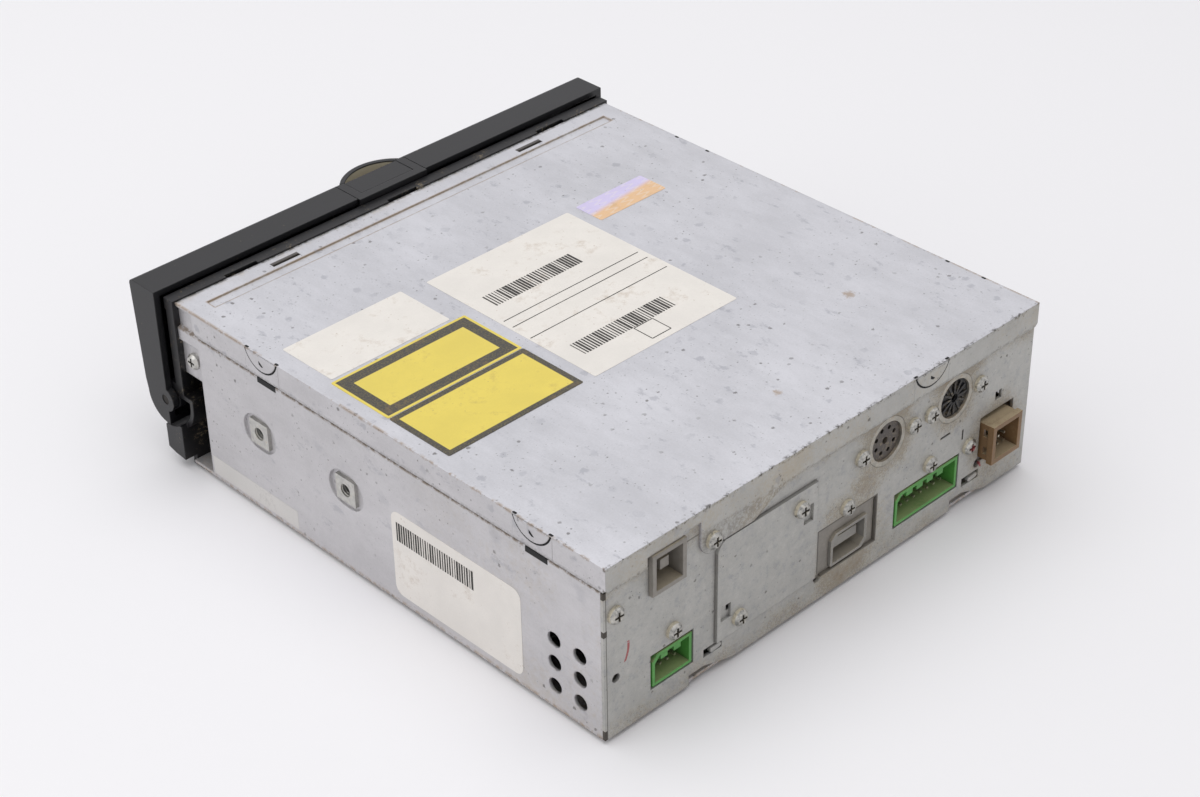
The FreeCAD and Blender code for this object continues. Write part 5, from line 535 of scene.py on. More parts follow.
def make_wall_finish(look):
    """Case walls: warmer plating with stains, rust, dirt and painted shade under the lid's skirt, painted
    shade in the catch holes and dust to the rear.
    """
    r = Recipe("wall_plating")
    coat, tones, grain = plating(r, look.wall, 38 * MM)
    behind = REAR_FACE - r.y
    along = r.y - CASE_FRONT
    high = r.z - FLOOR
    patch = r.noise(30 * MM, 4.0, 0.65, shift=2.3)
    fine = r.noise(1.8 * MM, 4.0, 0.7, shift=7.7)
    turned = r.rounded(0.7 * MM)
    # Along the lid's skirt edge: rust and dirt, and painted shade under the skirt.
    under_skirt = abs(high - (SKIRT_EDGE - 0.2 * MM)).rise(0.9 * MM, 0.1 * MM) * fine.rise(0.36, 0.6)
    foot = high.rise(1.6 * MM, 0.2 * MM) * fine.rise(0.4, 0.6)
    corner = behind.high(CASE_HALF - abs(r.x)).rise(1.4 * MM, 0.2 * MM) * fine.rise(0.42, 0.62)
    dusty = behind.rise(95 * MM, 5 * MM) * (patch * 0.6 + fine * 0.5).rise(0.46, 0.75)
    stain = r.noise(9 * MM, 3.0, 0.5, shift=11.0).rise(0.62, 0.74)
    # Painted shade: dark patches at the catches stand for the holes under the snap tabs.
    catch_hole_shade = highest(*(r.patch((along, *catch), (high, *CATCH_HIGH), 0.1 * MM) for catch in CATCHES_ALONG))
    edges = highest(under_skirt, foot, corner)
    dark = specks(r, look.speck, patch, 3.0)
    # The soil mask here carries the dark specks and the painted shade under the skirt.
    soil_and_shade = dark.high(under_skirt * 0.5)
    body = r.coats(
        coat,
        (dusty * 0.4, look.dust),
        (highest(stain * 0.2, smears(r, 6 * MM) * 0.3), look.smudge),
        (edges * 0.6, look.rust),
        (soil_and_shade, look.dirt_and_shade),
        (catch_hole_shade, look.shadow),
    )
    soiled = highest(soil_and_shade, edges, dusty * 0.5, catch_hole_shade)
    return r.paint(
        Base_Color=body,
        Metallic=0.5 - soiled * 0.45,
        Roughness=0.36 + tones * 0.18 + soiled * 0.3,
        Normal=r.relief(grain * 0.3 + tones * 0.7 - dark * 0.5, 0.03 * MM, 0.6, turned),
    )


def around(recipe, x, z, radius, soft):
    """One near a point of the rear panel, fading over soft."""
    return away(recipe.x - x, recipe.z - FLOOR - z).rise(radius + soft, radius)


def pen_stroke(recipe, slant, x, z, reach, bow, wide):
    """A short bowed stroke of a pen on the rear panel, from its middle."""
    up = recipe.z - FLOOR - z
    line = recipe.x - x - up * slant - (reach * reach - up * up) * (bow / (reach * reach))
    worn = recipe.noise(0.5 * MM, 2.0, 0.6, shift=2.0).rise(0.3, 0.42)
    return (wide - abs(line)).rise(-0.12 * MM, 0.12 * MM) * (reach - abs(up)).rise(0.0, 0.4 * MM) * worn


def make_rear_finish(look):
    """Rear panel: dull plating speckled with tan dust, smudged round the sockets, with painted shade in its
    hollows, under the lid's skirt, round the access plate and the ribbon socket's mouth and in the corner
    gaps.
    """
    r = Recipe("rear_plating")
    coat, tones, grain = plating(r, look.rear, 26 * MM)
    patch = r.noise(18 * MM, 5.0, 0.7, shift=3.7)
    fine = r.noise(1.1 * MM, 4.0, 0.75, shift=9.1)
    grit = r.noise(0.5 * MM, 3.0, 0.7, shift=4.4)
    spangle = r.noise(2.6 * MM, 5.0, 0.8, shift=8.4)
    scratch = r.noise(3 * MM, 4.0, 0.7, stretch=(0.35, 1.0, 2.2), shift=1.4).rise(0.6, 0.72)
    turned = r.rounded(0.45 * MM)
    # Painted shade in corners and recesses.
    hollow_shade = r.shade_in_hollows(3 * MM)
    high = r.z - FLOOR
    foot = high.rise(12 * MM, 0.5 * MM)
    top = (50 * MM - high).rise(6 * MM, 0.2 * MM)
    sockets = highest(*(around(r, *metres(smudge)) for smudge in REAR_SMUDGES))
    settle = patch * 0.5 + foot * 0.14 + top * 0.14 + sockets * 0.2
    powder = (fine * 0.55 + settle).rise(0.56, 0.84)
    grains = (grit * 0.55 + settle * 0.8).rise(0.56, 0.7)
    rusty = (r.noise(3.2 * MM, 4.0, 0.7, shift=6.0) * 0.6 + settle * 0.75).rise(0.66, 0.86)
    pale = spangle.rise(0.54, 0.68).high(scratch * 0.6)
    dull = spangle.rise(0.48, 0.36)
    # Painted shadow: a dark line under the lid's skirt edge.
    under_skirt = abs(high - SKIRT_EDGE).rise(0.45 * MM, 0.1 * MM)
    # Painted shade: dark outlines round the access plate and the ribbon socket's mouth.
    plate_edge = r.near_edge((r.x, *PLATE_ACROSS), (high, *PLATE_HIGH))
    mouth_edge = r.near_edge((r.x, *MOUTH_ACROSS), (high, *MOUTH_HIGH))
    outline = highest(plate_edge.rise(0.26 * MM, 0.1 * MM) * fine.rise(0.24, 0.44) * 0.7,
                      mouth_edge.rise(0.5 * MM, 0.25 * MM) * fine.rise(0.2, 0.38))
    # Painted shade: dark gaps at the rear corner and a dark line along the wall's edge.
    gaps = (r.patch((r.x, CASE_HALF, wide), (high, middle, half), 0.1 * MM)
            for middle, half, wide in map(metres, CORNER_GAPS))
    wall_line = abs(r.x - CASE_HALF + 0.9 * MM).rise(0.22 * MM, 0.1 * MM) * 0.7
    corner_gap = (r.x - CASE_HALF + 1.5 * MM).rise(0.0, 0.2 * MM) * highest(*gaps, wall_line)
    # All the lines of painted shade together.
    lines = highest(under_skirt * 0.6, outline * 0.75, corner_gap * 0.95)
    # Dark dirt specks and grains, with the painted shade of hollows and lines.
    dark = highest(specks(r, look.speck * 0.8, patch, 5.0), grains * 0.3, hollow_shade * 0.6, lines)
    strokes = highest(*(pen_stroke(r, slant, *metres(stroke)) for slant, stroke in PEN_STROKES))
    body = r.coats(
        coat,
        (pale * 0.4, look.bright),
        (highest(dull * 0.34, smears(r, 7 * MM) * 0.4), look.smudge),
        (powder * 0.5, look.dust),
        (rusty * 0.5, look.rust),
        (dark, look.dirt_and_shade),
        (strokes * 0.85, look.pen),
    )
    soiled = highest(dark, powder, rusty, strokes)
    return r.paint(
        Base_Color=body,
        Metallic=0.45 - soiled * 0.4,
        Roughness=0.42 + tones * 0.15 + soiled * 0.3,
        Normal=r.relief(grain * 0.3 + spangle * 0.4 + powder * 0.4, 0.06 * MM, 0.8, turned),
    )


def make_inner_finish(look):
    """Clean drawn sheet inside the case."""
    r = Recipe("inner_sheet")
    coat, tones, grain = plating(r, look.inner, 26 * MM)
    return r.paint(Base_Color=coat, Metallic=0.8, Roughness=0.32 + tones * 0.16,
                   Normal=r.relief(grain, 0.02 * MM, 0.5))


def make_bright_finish(look):
    """Bright plated nuts and inner screws, with dust and painted shade in their recesses."""
    r = Recipe("bright_plating")
    haze = r.noise(1.6 * MM, 4.0, 0.65)
    dust = (r.noise(0.7 * MM, 4.0, 0.7, shift=2.0) * 0.6 + haze * 0.5).rise(0.58, 0.74)
    # Painted shade in the recesses, in the dark dirt colour.
    recess_shade = r.shade_in_hollows(1.2 * MM)
    coat = r.shade(look.bright, haze.rise(0.3, 0.7), 0.78, 1.05)
    body = r.mix(recess_shade * 0.7, r.mix(dust * 0.45, coat, look.dust), look.dirt_and_shade)
    return r.paint(Base_Color=body, Metallic=0.9 - dust * 0.6 - recess_shade * 0.25,
                   Roughness=0.26 + haze * 0.14 + dust * 0.3,
                   Normal=r.relief(haze, 0.03 * MM, 0.4, r.rounded(0.2 * MM)))


def make_screw_finish(look):
    """Rear screws: bright crowns, cream dust round the heads, painted shade in the crosses, one dot of paint.
    """
    r = Recipe("screw_plating")
    haze = r.noise(1.1 * MM, 4.0, 0.7)
    flank = r.backwards.rise(0.6, 0.2)
    dust = flank * (haze * 0.9).rise(0.25, 0.45)
    film = (r.noise(0.6 * MM, 4.0, 0.75, shift=5.0) * 0.6 + haze * 0.5).rise(0.5, 0.7)
    # Painted shade in the crosses.
    recess_shade = r.shade_in_hollows(1.3 * MM)
    dot = around(r, *metres(SCREW_DOT))
    coat = r.shade(look.bright, haze.rise(0.3, 0.7), 0.42, 0.95)
    body = r.coats(coat, (highest(dust * 0.75, film * 0.22), look.cream), (recess_shade * 0.9, look.dirt_and_shade),
                   (dot * 0.8, look.pen))
    return r.paint(Base_Color=body, Metallic=0.95 - dust * 0.75 - recess_shade * 0.15,
                   Roughness=0.24 + haze * 0.16 + dust * 0.35,
                   Normal=r.relief(haze, 0.05 * MM, 0.6, r.rounded(0.25 * MM)))


def make_spring_finish(look):
    """Drawn spring wire."""
    r = Recipe("spring_wire")
    drawn = r.noise(0.5 * MM, 4.0, 0.6, stretch=(0.1, 1.0, 1.0))
    return r.paint(Base_Color=r.shade(look.inner, drawn, 0.55, 0.85), Metallic=0.9,
                   Roughness=0.3 + drawn * 0.15, Normal=r.relief(drawn, 0.01 * MM, 0.5))


def make_pin_finish(look):
    """Blackened hinge pins."""
    r = Recipe("blackened_pin")
    haze = r.noise(1.2 * MM, 4.0, 0.65)
    return r.paint(Base_Color=r.shade(look.dirt_and_shade, haze, 0.25, 0.5), Metallic=0.6,
                   Roughness=0.42 + haze * 0.15, Normal=r.relief(haze, 0.02 * MM, 0.4))


def make_nickel_finish(look):
    """Nickel shells of the plug sockets, tarnished and dusty, with painted shade in their hollows."""
    r = Recipe("nickel_shell")
    haze = r.noise(2.4 * MM, 4.0, 0.65, shift=1.0)
    fine = r.noise(0.8 * MM, 4.0, 0.7, shift=6.0)
    # Painted shade in the hollows.
    recess_shade = r.shade_in_hollows(2 * MM)
    dust = (fine * 0.6 + haze * 0.5 + r.upwards.rise(0.0, 1.0) * 0.1).rise(0.54, 0.72)
    coat = r.shade(look.nickel, haze.rise(0.3, 0.7), 0.7, 1.05)
    body = r.mix(recess_shade * 0.6, r.mix(dust * 0.5, coat, look.rust), look.dirt_and_shade)
    return r.paint(Base_Color=body, Metallic=0.85 - dust * 0.6, Roughness=0.3 + haze * 0.15 + dust * 0.3,
                   Normal=r.relief(haze, 0.03 * MM, 0.4, r.rounded(0.25 * MM)))


def make_moulding(name, base, look, settled, edge=None, rough=0.42):
    """A satin moulding: an eroded texture, dust on what faces up, painted shade in hollows and paler edges.
    """
    r = Recipe(name)
    flow = r.noise(9 * MM, 3.0, 0.5)
    spark = r.noise(0.25 * MM, 2.0, 0.6)
    fine = r.noise(1.1 * MM, 4.0, 0.75, shift=2.2)
    turned = r.rounded(0.3 * MM)
    lying = r.upwards.rise(0.1, 0.9)
    powder = (fine * 0.5 + flow * 0.4 + lying * 0.3).rise(0.5, 0.78) * settled
    coat = r.shade(base, (flow * 0.6 + fine * 0.4).rise(0.3, 0.7), 0.84, 1.14)
    if edge:
        coat = r.mix(r.edges(turned) * fine.rise(0.3, 0.6) * 0.8, coat, edge)
    # Painted shade in hollows, from ambient occlusion.
    body = r.mix(r.shade_in_hollows(3 * MM) * 0.45, coat, look.dirt_and_shade)
    return r.paint(Base_Color=r.mix(powder, body, look.dust), Roughness=rough + spark * 0.12 + powder * 0.3,
                   Normal=r.relief(spark * 0.5 + fine * 0.5, 0.03 * MM, 0.5, turned))


def make_insert_finish(mouldings, look):
    """Inserts of the round sockets: one brown-grey, the far one black, both dusty, with painted shade in
    their hollows.
    """
    r = Recipe("round_insert_moulding")
    haze = r.noise(2.2 * MM, 4.0, 0.7)
    fine = r.noise(0.7 * MM, 4.0, 0.75, shift=2.8)
    beside_plate = (r.x - BETWEEN_ROUND_SOCKETS).rise(-1 * MM, 1 * MM)
    base = r.mix(beside_plate, mouldings.black, mouldings.insulator)
    dust = (fine * 0.55 + haze * 0.5).rise(0.5, 0.74) * 0.5
    # Painted shade in the hollows, in the shadow colour.
    body = r.mix(r.shade_in_hollows(1.4 * MM) * 0.8, r.mix(dust, base, look.dust), look.shadow)
    return r.paint(Base_Color=body, Roughness=0.42 + haze * 0.14 + dust * 0.3,
                   Normal=r.relief(fine, 0.03 * MM, 0.5, r.rounded(0.15 * MM)))


def make_front_finish(name, mouldings, look, pocket_share):
    """Black satin front: paler worn edges, a little tan dust beside the case and in the pocket."""
    r = Recipe(name)
    flow = r.noise(30 * MM, 3.0, 0.5)
    spark = r.noise(0.22 * MM, 2.0, 0.6)
    fine = r.noise(0.8 * MM, 4.0, 0.75, shift=8.2)
    patch = r.noise(9 * MM, 4.0, 0.65, shift=1.2)
    turned = r.rounded(0.4 * MM)
    behind = CASE_FRONT - r.y
    worn = r.edges(turned) * (fine * 0.5 + patch * 0.5).rise(0.46, 0.62)
    near_case = behind.rise(5.6 * MM, 0.8 * MM) * (fine * 0.55 + patch * 0.55).rise(0.6, 0.7)
    inside = (LID_TOP + 2.2 * MM - r.z).rise(0.0, 0.4 * MM) * behind.rise(14.5 * MM, 16 * MM)
    open_faces = r.upwards.high(r.backwards).rise(0.1, 0.5)
    lying = inside * open_faces * (fine * 0.5 + patch * 0.5 + r.upwards * 0.2).rise(0.2, 0.42)
    lint = r.spots(5 * MM, 0.3 * MM, 3.3) * patch.rise(0.4, 0.6)
    dust = highest(near_case * 0.4, lying * pocket_share, lint * 0.22)
    coat = r.shade(mouldings.black, (flow * 0.7 + patch * 0.3).rise(0.3, 0.7), 0.8, 1.25)
    coat = r.mix(worn * 0.5, coat, mouldings.scuff)
    settled = look.cream if pocket_share else look.dust
    return r.paint(Base_Color=r.mix(dust, coat, settled), Roughness=0.34 + spark * 0.14 + dust * 0.35,
                   Normal=r.relief(spark, 0.02 * MM, 0.5, turned))


def make_shade_finish(look):
    """Painted shade for openings seen from outside: the dark of the case, with a little dust at their edges.
    """
    r = Recipe("open_slits")
    haze = r.noise(0.8 * MM, 3.0, 0.7)
    return r.paint(Base_Color=r.mix(haze.rise(0.5, 0.75) * 0.35, look.shadow, look.dirt_and_shade),
                   Roughness=0.8 + haze * 0.1)


def make_board_finish(mouldings):
    """Coated circuit board with fine tracks under the green mask."""
    r = Recipe("circuit_board")
    lane = r.noise(5 * MM, 0.0, 0.0)
    track_x = (r.x * 800).folded().rise(0.35, 0.5)
    track_y = (r.y * 800).folded().rise(0.35, 0.5)
    choose = lane.rise(0.49, 0.51)
    tracks = (track_x * choose).high(track_y * (1 - choose)) * r.noise(11 * MM, 1.0).rise(0.4, 0.45)
    pads = r.spots(3.5 * MM, 0.7 * MM, 2.0, 0.0)
    body = r.coats(r.shade(mouldings.board, lane, 0.7, 0.95),
                   (tracks * 0.6, toned(mouldings.board, 1.6)),
                   (pads, tone(190, 188, 176)))
    return r.paint(Base_Color=body, Roughness=0.35 + pads * 0.1, Metallic=pads * 0.8,
                   Normal=r.relief(tracks, 0.03 * MM, 0.5))


def make_plain_finish(name, base, rough, metal=0.0, size=2 * MM):
    """A plain inner part: soft tone, slight grain."""
    r = Recipe(name)
    flow = r.noise(size * 4, 3.0, 0.5)
    grain = r.noise(size * 0.2, 3.0, 0.65)
    return r.paint(Base_Color=r.shade(base, (flow * 0.6 + grain * 0.4).rise(0.3, 0.7), 0.82, 1.15),
                   Metallic=metal, Roughness=rough + grain * 0.12, Normal=r.relief(grain, 0.02 * MM, 0.5))


def make_felt_finish():
    """Black dust felt."""
    r = Recipe("dust_felt")
    fibre = r.noise(0.35 * MM, 4.0, 0.8, stretch=(1.0, 1.0, 3.0))
    return r.paint(Base_Color=r.shade(tone(36, 35, 34), fibre, 0.5, 1.6), Roughness=0.95,
                   Sheen_Weight=0.4, Normal=r.relief(fibre, 0.15 * MM, 0.9))


def make_paper(name, stock, stain, gloss, marks=None):
    """Label stock with soft stains; marks(recipe) gives masks and their colours."""
    r = Recipe(name)
    cloud = r.noise(16 * MM, 4.0, 0.6, shift=4.0)
    fibre = r.noise(0.5 * MM, 3.0, 0.7)
    scuff = (r.noise(4 * MM, 5.0, 0.78, shift=9.0) * 0.6 + cloud * 0.5).rise(0.58, 0.76)
    fleck = r.spots(2.6 * MM, 0.3 * MM, 7.0) * cloud.rise(0.4, 0.6)
    body = r.shade(stock, (cloud * 0.7 + fibre * 0.3).rise(0.3, 0.7), 0.94, 1.04)
    for mask, ink in (marks(r) if marks else ()):
        body = r.mix(mask * (fibre * 0.5 + 0.72).low(1.0), body, ink)
    body = r.mix((scuff * 0.35).high(fleck * 0.4), body, stain)
    return r.paint(Base_Color=body, Roughness=0.5 + fibre * 0.1 + scuff * 0.15, Coat_Weight=gloss,
                   Coat_Roughness=0.25, Normal=r.relief(fibre, 0.01 * MM, 0.4))


def panel_mask(recipe, middle, size, grow, soft=0.12 * MM):
    """One inside a rectangle of the lid's plane that is grown by grow on every side."""
    return recipe.patch((recipe.x, middle[0], size[0] / 2 + grow),
                        (recipe.y, middle[1], size[1] / 2 + grow), soft)


def rounded_outline(width, tall, radius, steps=5):
    """Corners of a rectangle with rounded corners, counter-clockwise about its middle."""
    points = []
    for turn, (side, up) in enumerate(((1, 1), (-1, 1), (-1, -1), (1, -1))):
        middle = Vector(((width / 2 - radius) * side, (tall / 2 - radius) * up))
        for step in range(steps + 1):
            angle = math.pi / 2 * (turn + step / steps)
            points.append(middle + Vector((math.cos(angle), math.sin(angle))) * radius)
    return points


def finish_mesh(name, mesh, material, body):
    """Puts a finished mesh on its body of the frame."""
    made = bpy.data.objects.new(name, mesh)
    bpy.context.scene.collection.objects.link(made)
    mesh.materials.clear()
    mesh.materials.append(material)
    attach(made, body)


def settle_mesh(name, bm, middle=None, across=X, upward=Y):
    """Ends a bmesh as a mesh, turned and set down at its middle where one is given."""
    if middle:
        turn = Matrix((across, upward, across.cross(upward))).transposed().to_4x4()
        bmesh.ops.transform(bm, matrix=Matrix.Translation(middle) @ turn, verts=bm.verts)
    # The order of points and faces that bmesh leaves changes from run to run, so both are sorted.
    points = sorted(bm.verts, key=lambda vert: vert.co[:])
    numbers = {vert: number for number, vert in enumerate(points)}
    faces = []
    for face in bm.faces:
        ring = [numbers[vert] for vert in face.verts]
        first = ring.index(min(ring))
        faces.append((ring[first:] + ring[:first], face.smooth))
    faces.sort()
    mesh = bpy.data.meshes.new(name)
    mesh.from_pydata([vert.co[:] for vert in points], [], [ring for ring, smooth in faces])
    mesh.polygons.foreach_set("use_smooth", [smooth for ring, smooth in faces])
    bm.free()
    return mesh


def make_label(name, middle, across, upward, size, gauge, corner, material, cells=14):
    """A stuck-on label: rounded outline, cut into cells so that it can bulge, with a real gauge."""
    bm = bmesh.new()
    ring = [bm.verts.new((point.x, point.y, 0)) for point in rounded_outline(size[0], size[1], corner)]
    bm.faces.new(ring)
    for axis in (0, 1):
        for cell in range(1, cells):
            place = Vector((0, 0, 0))
            place[axis] = size[axis] * (cell / cells - 0.5)
            direction = Vector((0, 0, 0))
            direction[axis] = 1
            bmesh.ops.bisect_plane(bm, geom=bm.verts[:] + bm.edges[:] + bm.faces[:],
                                   plane_co=place, plane_no=direction)
    for vert in bm.verts:
        edge = min(size[0] / 2 - abs(vert.co.x), size[1] / 2 - abs(vert.co.y)) / corner
        wave = math.sin(vert.co.x / size[0] * 9) * math.sin(vert.co.y / size[1] * 7 + 1)
        vert.co.z = gauge * 0.25 * (1 + wave) * min(1.0, max(0.25, edge))
    top = bm.faces[:]
    under = bmesh.ops.extrude_face_region(bm, geom=top)
    for vert in (item for item in under["geom"] if isinstance(item, bmesh.types.BMVert)):
        vert.co.z += gauge
    bmesh.ops.recalc_face_normals(bm, faces=bm.faces)
    finish_mesh(name, settle_mesh(name, bm, middle, across, upward), material, "case")


SOCKET_KINDS = {float: "NodeSocketFloat", int: "NodeSocketInt", tuple: "NodeSocketVector"}


class Weave(Tree):
    """A geometry tree with named inputs; what it makes is baked to a plain mesh."""

    def __init__(self, name, **inputs):
        super().__init__(bpy.data.node_groups.new(name, "GeometryNodeTree"))
        self.ids = {}
        for label, default in {**inputs, "Place": (0.0, 0.0, 0.0), "Turn": (0.0, 0.0, 0.0)}.items():
            self.add_input(label, SOCKET_KINDS[type(default)]).default_value = default
        self.add_input("Material", "NodeSocketMaterial")
        self.nodes.interface.new_socket("Geometry", in_out="OUTPUT", socket_type="NodeSocketGeometry")
        self.given = self.nodes.nodes.new("NodeGroupInput")

    def add_input(self, label, kind):
        """A named input of the tree."""
        socket = self.nodes.interface.new_socket(label, in_out="INPUT", socket_type=kind)
        self.ids[label] = socket.identifier
        return socket

    def ask(self, *labels):
        """The tree's own inputs of those names."""
        flows = [Flow(self, self.given.outputs[label]) for label in labels]
        return flows if len(flows) > 1 else flows[0]

    def close(self, geometry):
        """Ends the tree with real geometry in its place and in its own material."""
        turned = self.node("GeometryNodeTransform", {}, {"Geometry": geometry, "Rotation": self.ask("Turn"),
                                                         "Translation": self.ask("Place")})
        real = self.node("GeometryNodeRealizeInstances", {}, {"Geometry": turned})
        painted = self.node("GeometryNodeSetMaterial", {}, {"Geometry": real,
                                                            "Material": self.ask("Material")})
        self.nodes.links.new(painted.socket, self.nodes.nodes.new("NodeGroupOutput").inputs[0])
        return self

    def grow(self, name, **values):
        """Evaluates the tree on an empty carrier and gives the plain mesh."""
        carrier = bpy.data.objects.new(name + "_carrier", bpy.data.meshes.new(name + "_carrier"))
        bpy.context.scene.collection.objects.link(carrier)
        modifier = carrier.modifiers.new("weave", "NODES")
        modifier.node_group = self.nodes
        for label, value in values.items():
            modifier[self.ids[label]] = value
        bpy.context.view_layer.update()
        graph = bpy.context.evaluated_depsgraph_get()
        mesh = bpy.data.meshes.new_from_object(carrier.evaluated_get(graph))
        mesh.name = name
        bpy.data.objects.remove(carrier)
        return mesh


def thread_weave():
    """A helical ridge: a spiral with a four-sided section swept along it."""
    w = Weave("thread_ridge", Radius=2 * MM, Pitch=0.8 * MM, Turns=3.0, Ridge=0.2 * MM, Steps=20)
    radius, pitch, turns = w.ask("Radius", "Pitch", "Turns")
    spiral = w.node("GeometryNodeCurveSpiral", {}, {
        "Resolution": w.ask("Steps"), "Rotations": turns, "Start Radius": radius, "End Radius": radius,
        "Height": pitch * turns})
    section = w.node("GeometryNodeCurvePrimitiveCircle", {}, {"Resolution": 4, "Radius": w.ask("Ridge")})
    return w.close(w.node("GeometryNodeCurveToMesh", {}, {"Curve": spiral, "Profile Curve": section,
                                                          "Fill Caps": True}))


def bar_weave():
    """A row of printed bars of mixed widths: thin slabs on a line of points."""
    w = Weave("printed_bars", Length=30 * MM, Tall=6 * MM, Gauge=0.02 * MM, Count=40, Seed=1)
    reach, tall, gauge, count, seed = w.ask("Length", "Tall", "Gauge", "Count", "Seed")
    pitch = reach / count
    line = w.node("GeometryNodeMeshLine", {}, {"Count": count, "Start Location": w.vector(reach * -0.5),
                                               "Offset": w.vector(pitch)})
    slab = w.node("GeometryNodeMeshCube", {}, {"Size": w.vector(pitch, tall, gauge)})
    width = w.node("FunctionNodeRandomValue", {"data_type": "FLOAT"}, {2: 0.25, 3: 0.8, "Seed": seed}, 1)
    return w.close(w.node("GeometryNodeInstanceOnPoints", {}, {
        "Points": line, "Instance": slab, "Scale": w.vector(width, 1.0, 1.0)}))


def rib_weave():
    """Radial ribs about a round insert: one slab turned about its middle, Count times."""
    w = Weave("radial_ribs", Count=12, Inner=1.6 * MM, Outer=5.4 * MM, Wide=0.6 * MM, Tall=0.5 * MM)
    count, inner, outer, wide, tall = w.ask("Count", "Inner", "Outer", "Wide", "Tall")
    slab = w.node("GeometryNodeMeshCube", {}, {"Size": w.vector(outer - inner, wide, tall)})
    rib = w.node("GeometryNodeTransform", {}, {"Geometry": slab,
                                               "Translation": w.vector((outer + inner) * 0.5)})
    stack = w.node("GeometryNodeMeshLine", {}, {"Count": count, "Offset": (0.0, 0.0, 0.0)})
    turn = w.vector(z=w.node("GeometryNodeInputIndex", {}, {}) * (math.tau / count))
    return w.close(w.node("GeometryNodeInstanceOnPoints", {}, {"Points": stack, "Instance": rib,
                                                               "Rotation": turn}))


def join_meshes(name, meshes):
    """Several plain meshes as one."""
    bm = bmesh.new()
    for mesh in meshes:
        bm.from_mesh(mesh)
    return settle_mesh(name, bm)


def label_places(sizes):
    """Middle and size of each of the lid's labels, in the lid's plane."""
    places = {}
    for name in ("large", "small", "framed", "banded", "seal"):
        x, along, width, tall = getattr(sizes, name)
        places[name] = ((x, CASE_FRONT + along), (width, tall))
    return places


def segment_outline(half, drop, steps=18):
    """A circle's segment that hangs from its chord, counter-clockwise from the chord's left end."""
    radius = (half * half + drop * drop) / (2 * drop)
    reach = math.asin(half / radius)
    turns = (reach * (2 * step / steps - 1) for step in range(steps + 1))
    return [Vector((radius * math.sin(turn), radius - drop - radius * math.cos(turn))) for turn in turns]


def make_plate(points, middle, across, upward, low, high, soft=0.0):
    """A flat plate of that outline, from low to high above its middle, with its upper rim turned over."""
    bm = bmesh.new()
    face = bm.faces.new([bm.verts.new((point.x, point.y, low)) for point in points])
    raised = bmesh.ops.extrude_face_region(bm, geom=[face])
    top = [item for item in raised["geom"] if isinstance(item, bmesh.types.BMVert)]
    for vert in top:
        vert.co.z = high
    bmesh.ops.recalc_face_normals(bm, faces=bm.faces)
    if soft:
        rim = [edge for edge in bm.edges if all(vert in top for vert in edge.verts)]
        bmesh.ops.bevel(bm, geom=rim, offset=soft, segments=2, affect="EDGES", profile=0.6)
    return settle_mesh("plate", bm, middle, across, upward)


class DRIVE_OT_finishes(bpy.types.Operator):
    """Give every solid of the drive its finish"""

    bl_idname = "drive.finishes"
    bl_label = "Finish the solids"

    def execute(self, context):
        look = context.scene.drive_sheet
        mouldings = context.scene.drive_moulding
        black = make_front_finish("front_moulding", mouldings, look, 0.0)
        own = {
            "top_cover": make_lid_finish(look),
            "chassis_base": make_wall_finish(look),
            "rear_screws": make_screw_finish(look),
            "flap_hinge_pins": make_pin_finish(look),
            "flap_latch": make_front_finish("latch_moulding", mouldings, look, 0.85),
            "round_socket_inserts": make_insert_finish(mouldings, look),
            "ribbon_socket_frame": make_moulding("ribbon_frame_moulding", mouldings.grey, look, 0.9),
            "ribbon_socket_shell": make_moulding("ribbon_moulding", mouldings.pale_grey, look, 0.3,
                                                 look.cream),
        }
        own["ribbon_socket_tongue"] = own["ribbon_socket_shell"]
        by_slot = {
            "plated_steel": own["chassis_base"],
            "rear_steel": make_rear_finish(look),
            "inner_steel": make_inner_finish(look),
            "bright_steel": make_bright_finish(look),
            "spring_steel": make_spring_finish(look),
            "black_plastic": black,
            "socket_green": make_moulding("green_moulding", mouldings.green, look, 0.5, rough=0.36),
            "socket_brown": make_moulding("brown_moulding", mouldings.brown, look, 0.8, mouldings.caramel),
            "socket_grey": make_moulding("grey_moulding", mouldings.grey, look, 0.45),
            "socket_black": make_moulding("insulator_moulding", mouldings.insulator, look, 0.5),
            "nickel": make_nickel_finish(look),
            "tin": make_plain_finish("tinned_pins", tone(196, 190, 174), 0.25, 0.9, 0.8 * MM),
            "board": make_board_finish(mouldings),
            "chip": make_plain_finish("chip_moulding", tone(38, 38, 40), 0.5),
            "can": make_plain_finish("bare_can", tone(188, 190, 194), 0.28, 0.9),
            "rubber": make_plain_finish("rubber", tone(40, 39, 38), 0.72),
            "felt": make_felt_finish(),
            "gear_white": make_plain_finish("gear_moulding", mouldings.gear, 0.4),
            "brass": make_plain_finish("turned_brass", tone(202, 172, 104), 0.25, 0.95, 0.8 * MM),
        }
        for part in frame["record"]["subparts"]:
            solid = frame["nodes"][part["node"]]
            finish = own.get(part["node"], by_slot[part["material_slot"]])
            solid.data.materials.clear()
            solid.data.materials.append(finish)
        return {"FINISHED"}


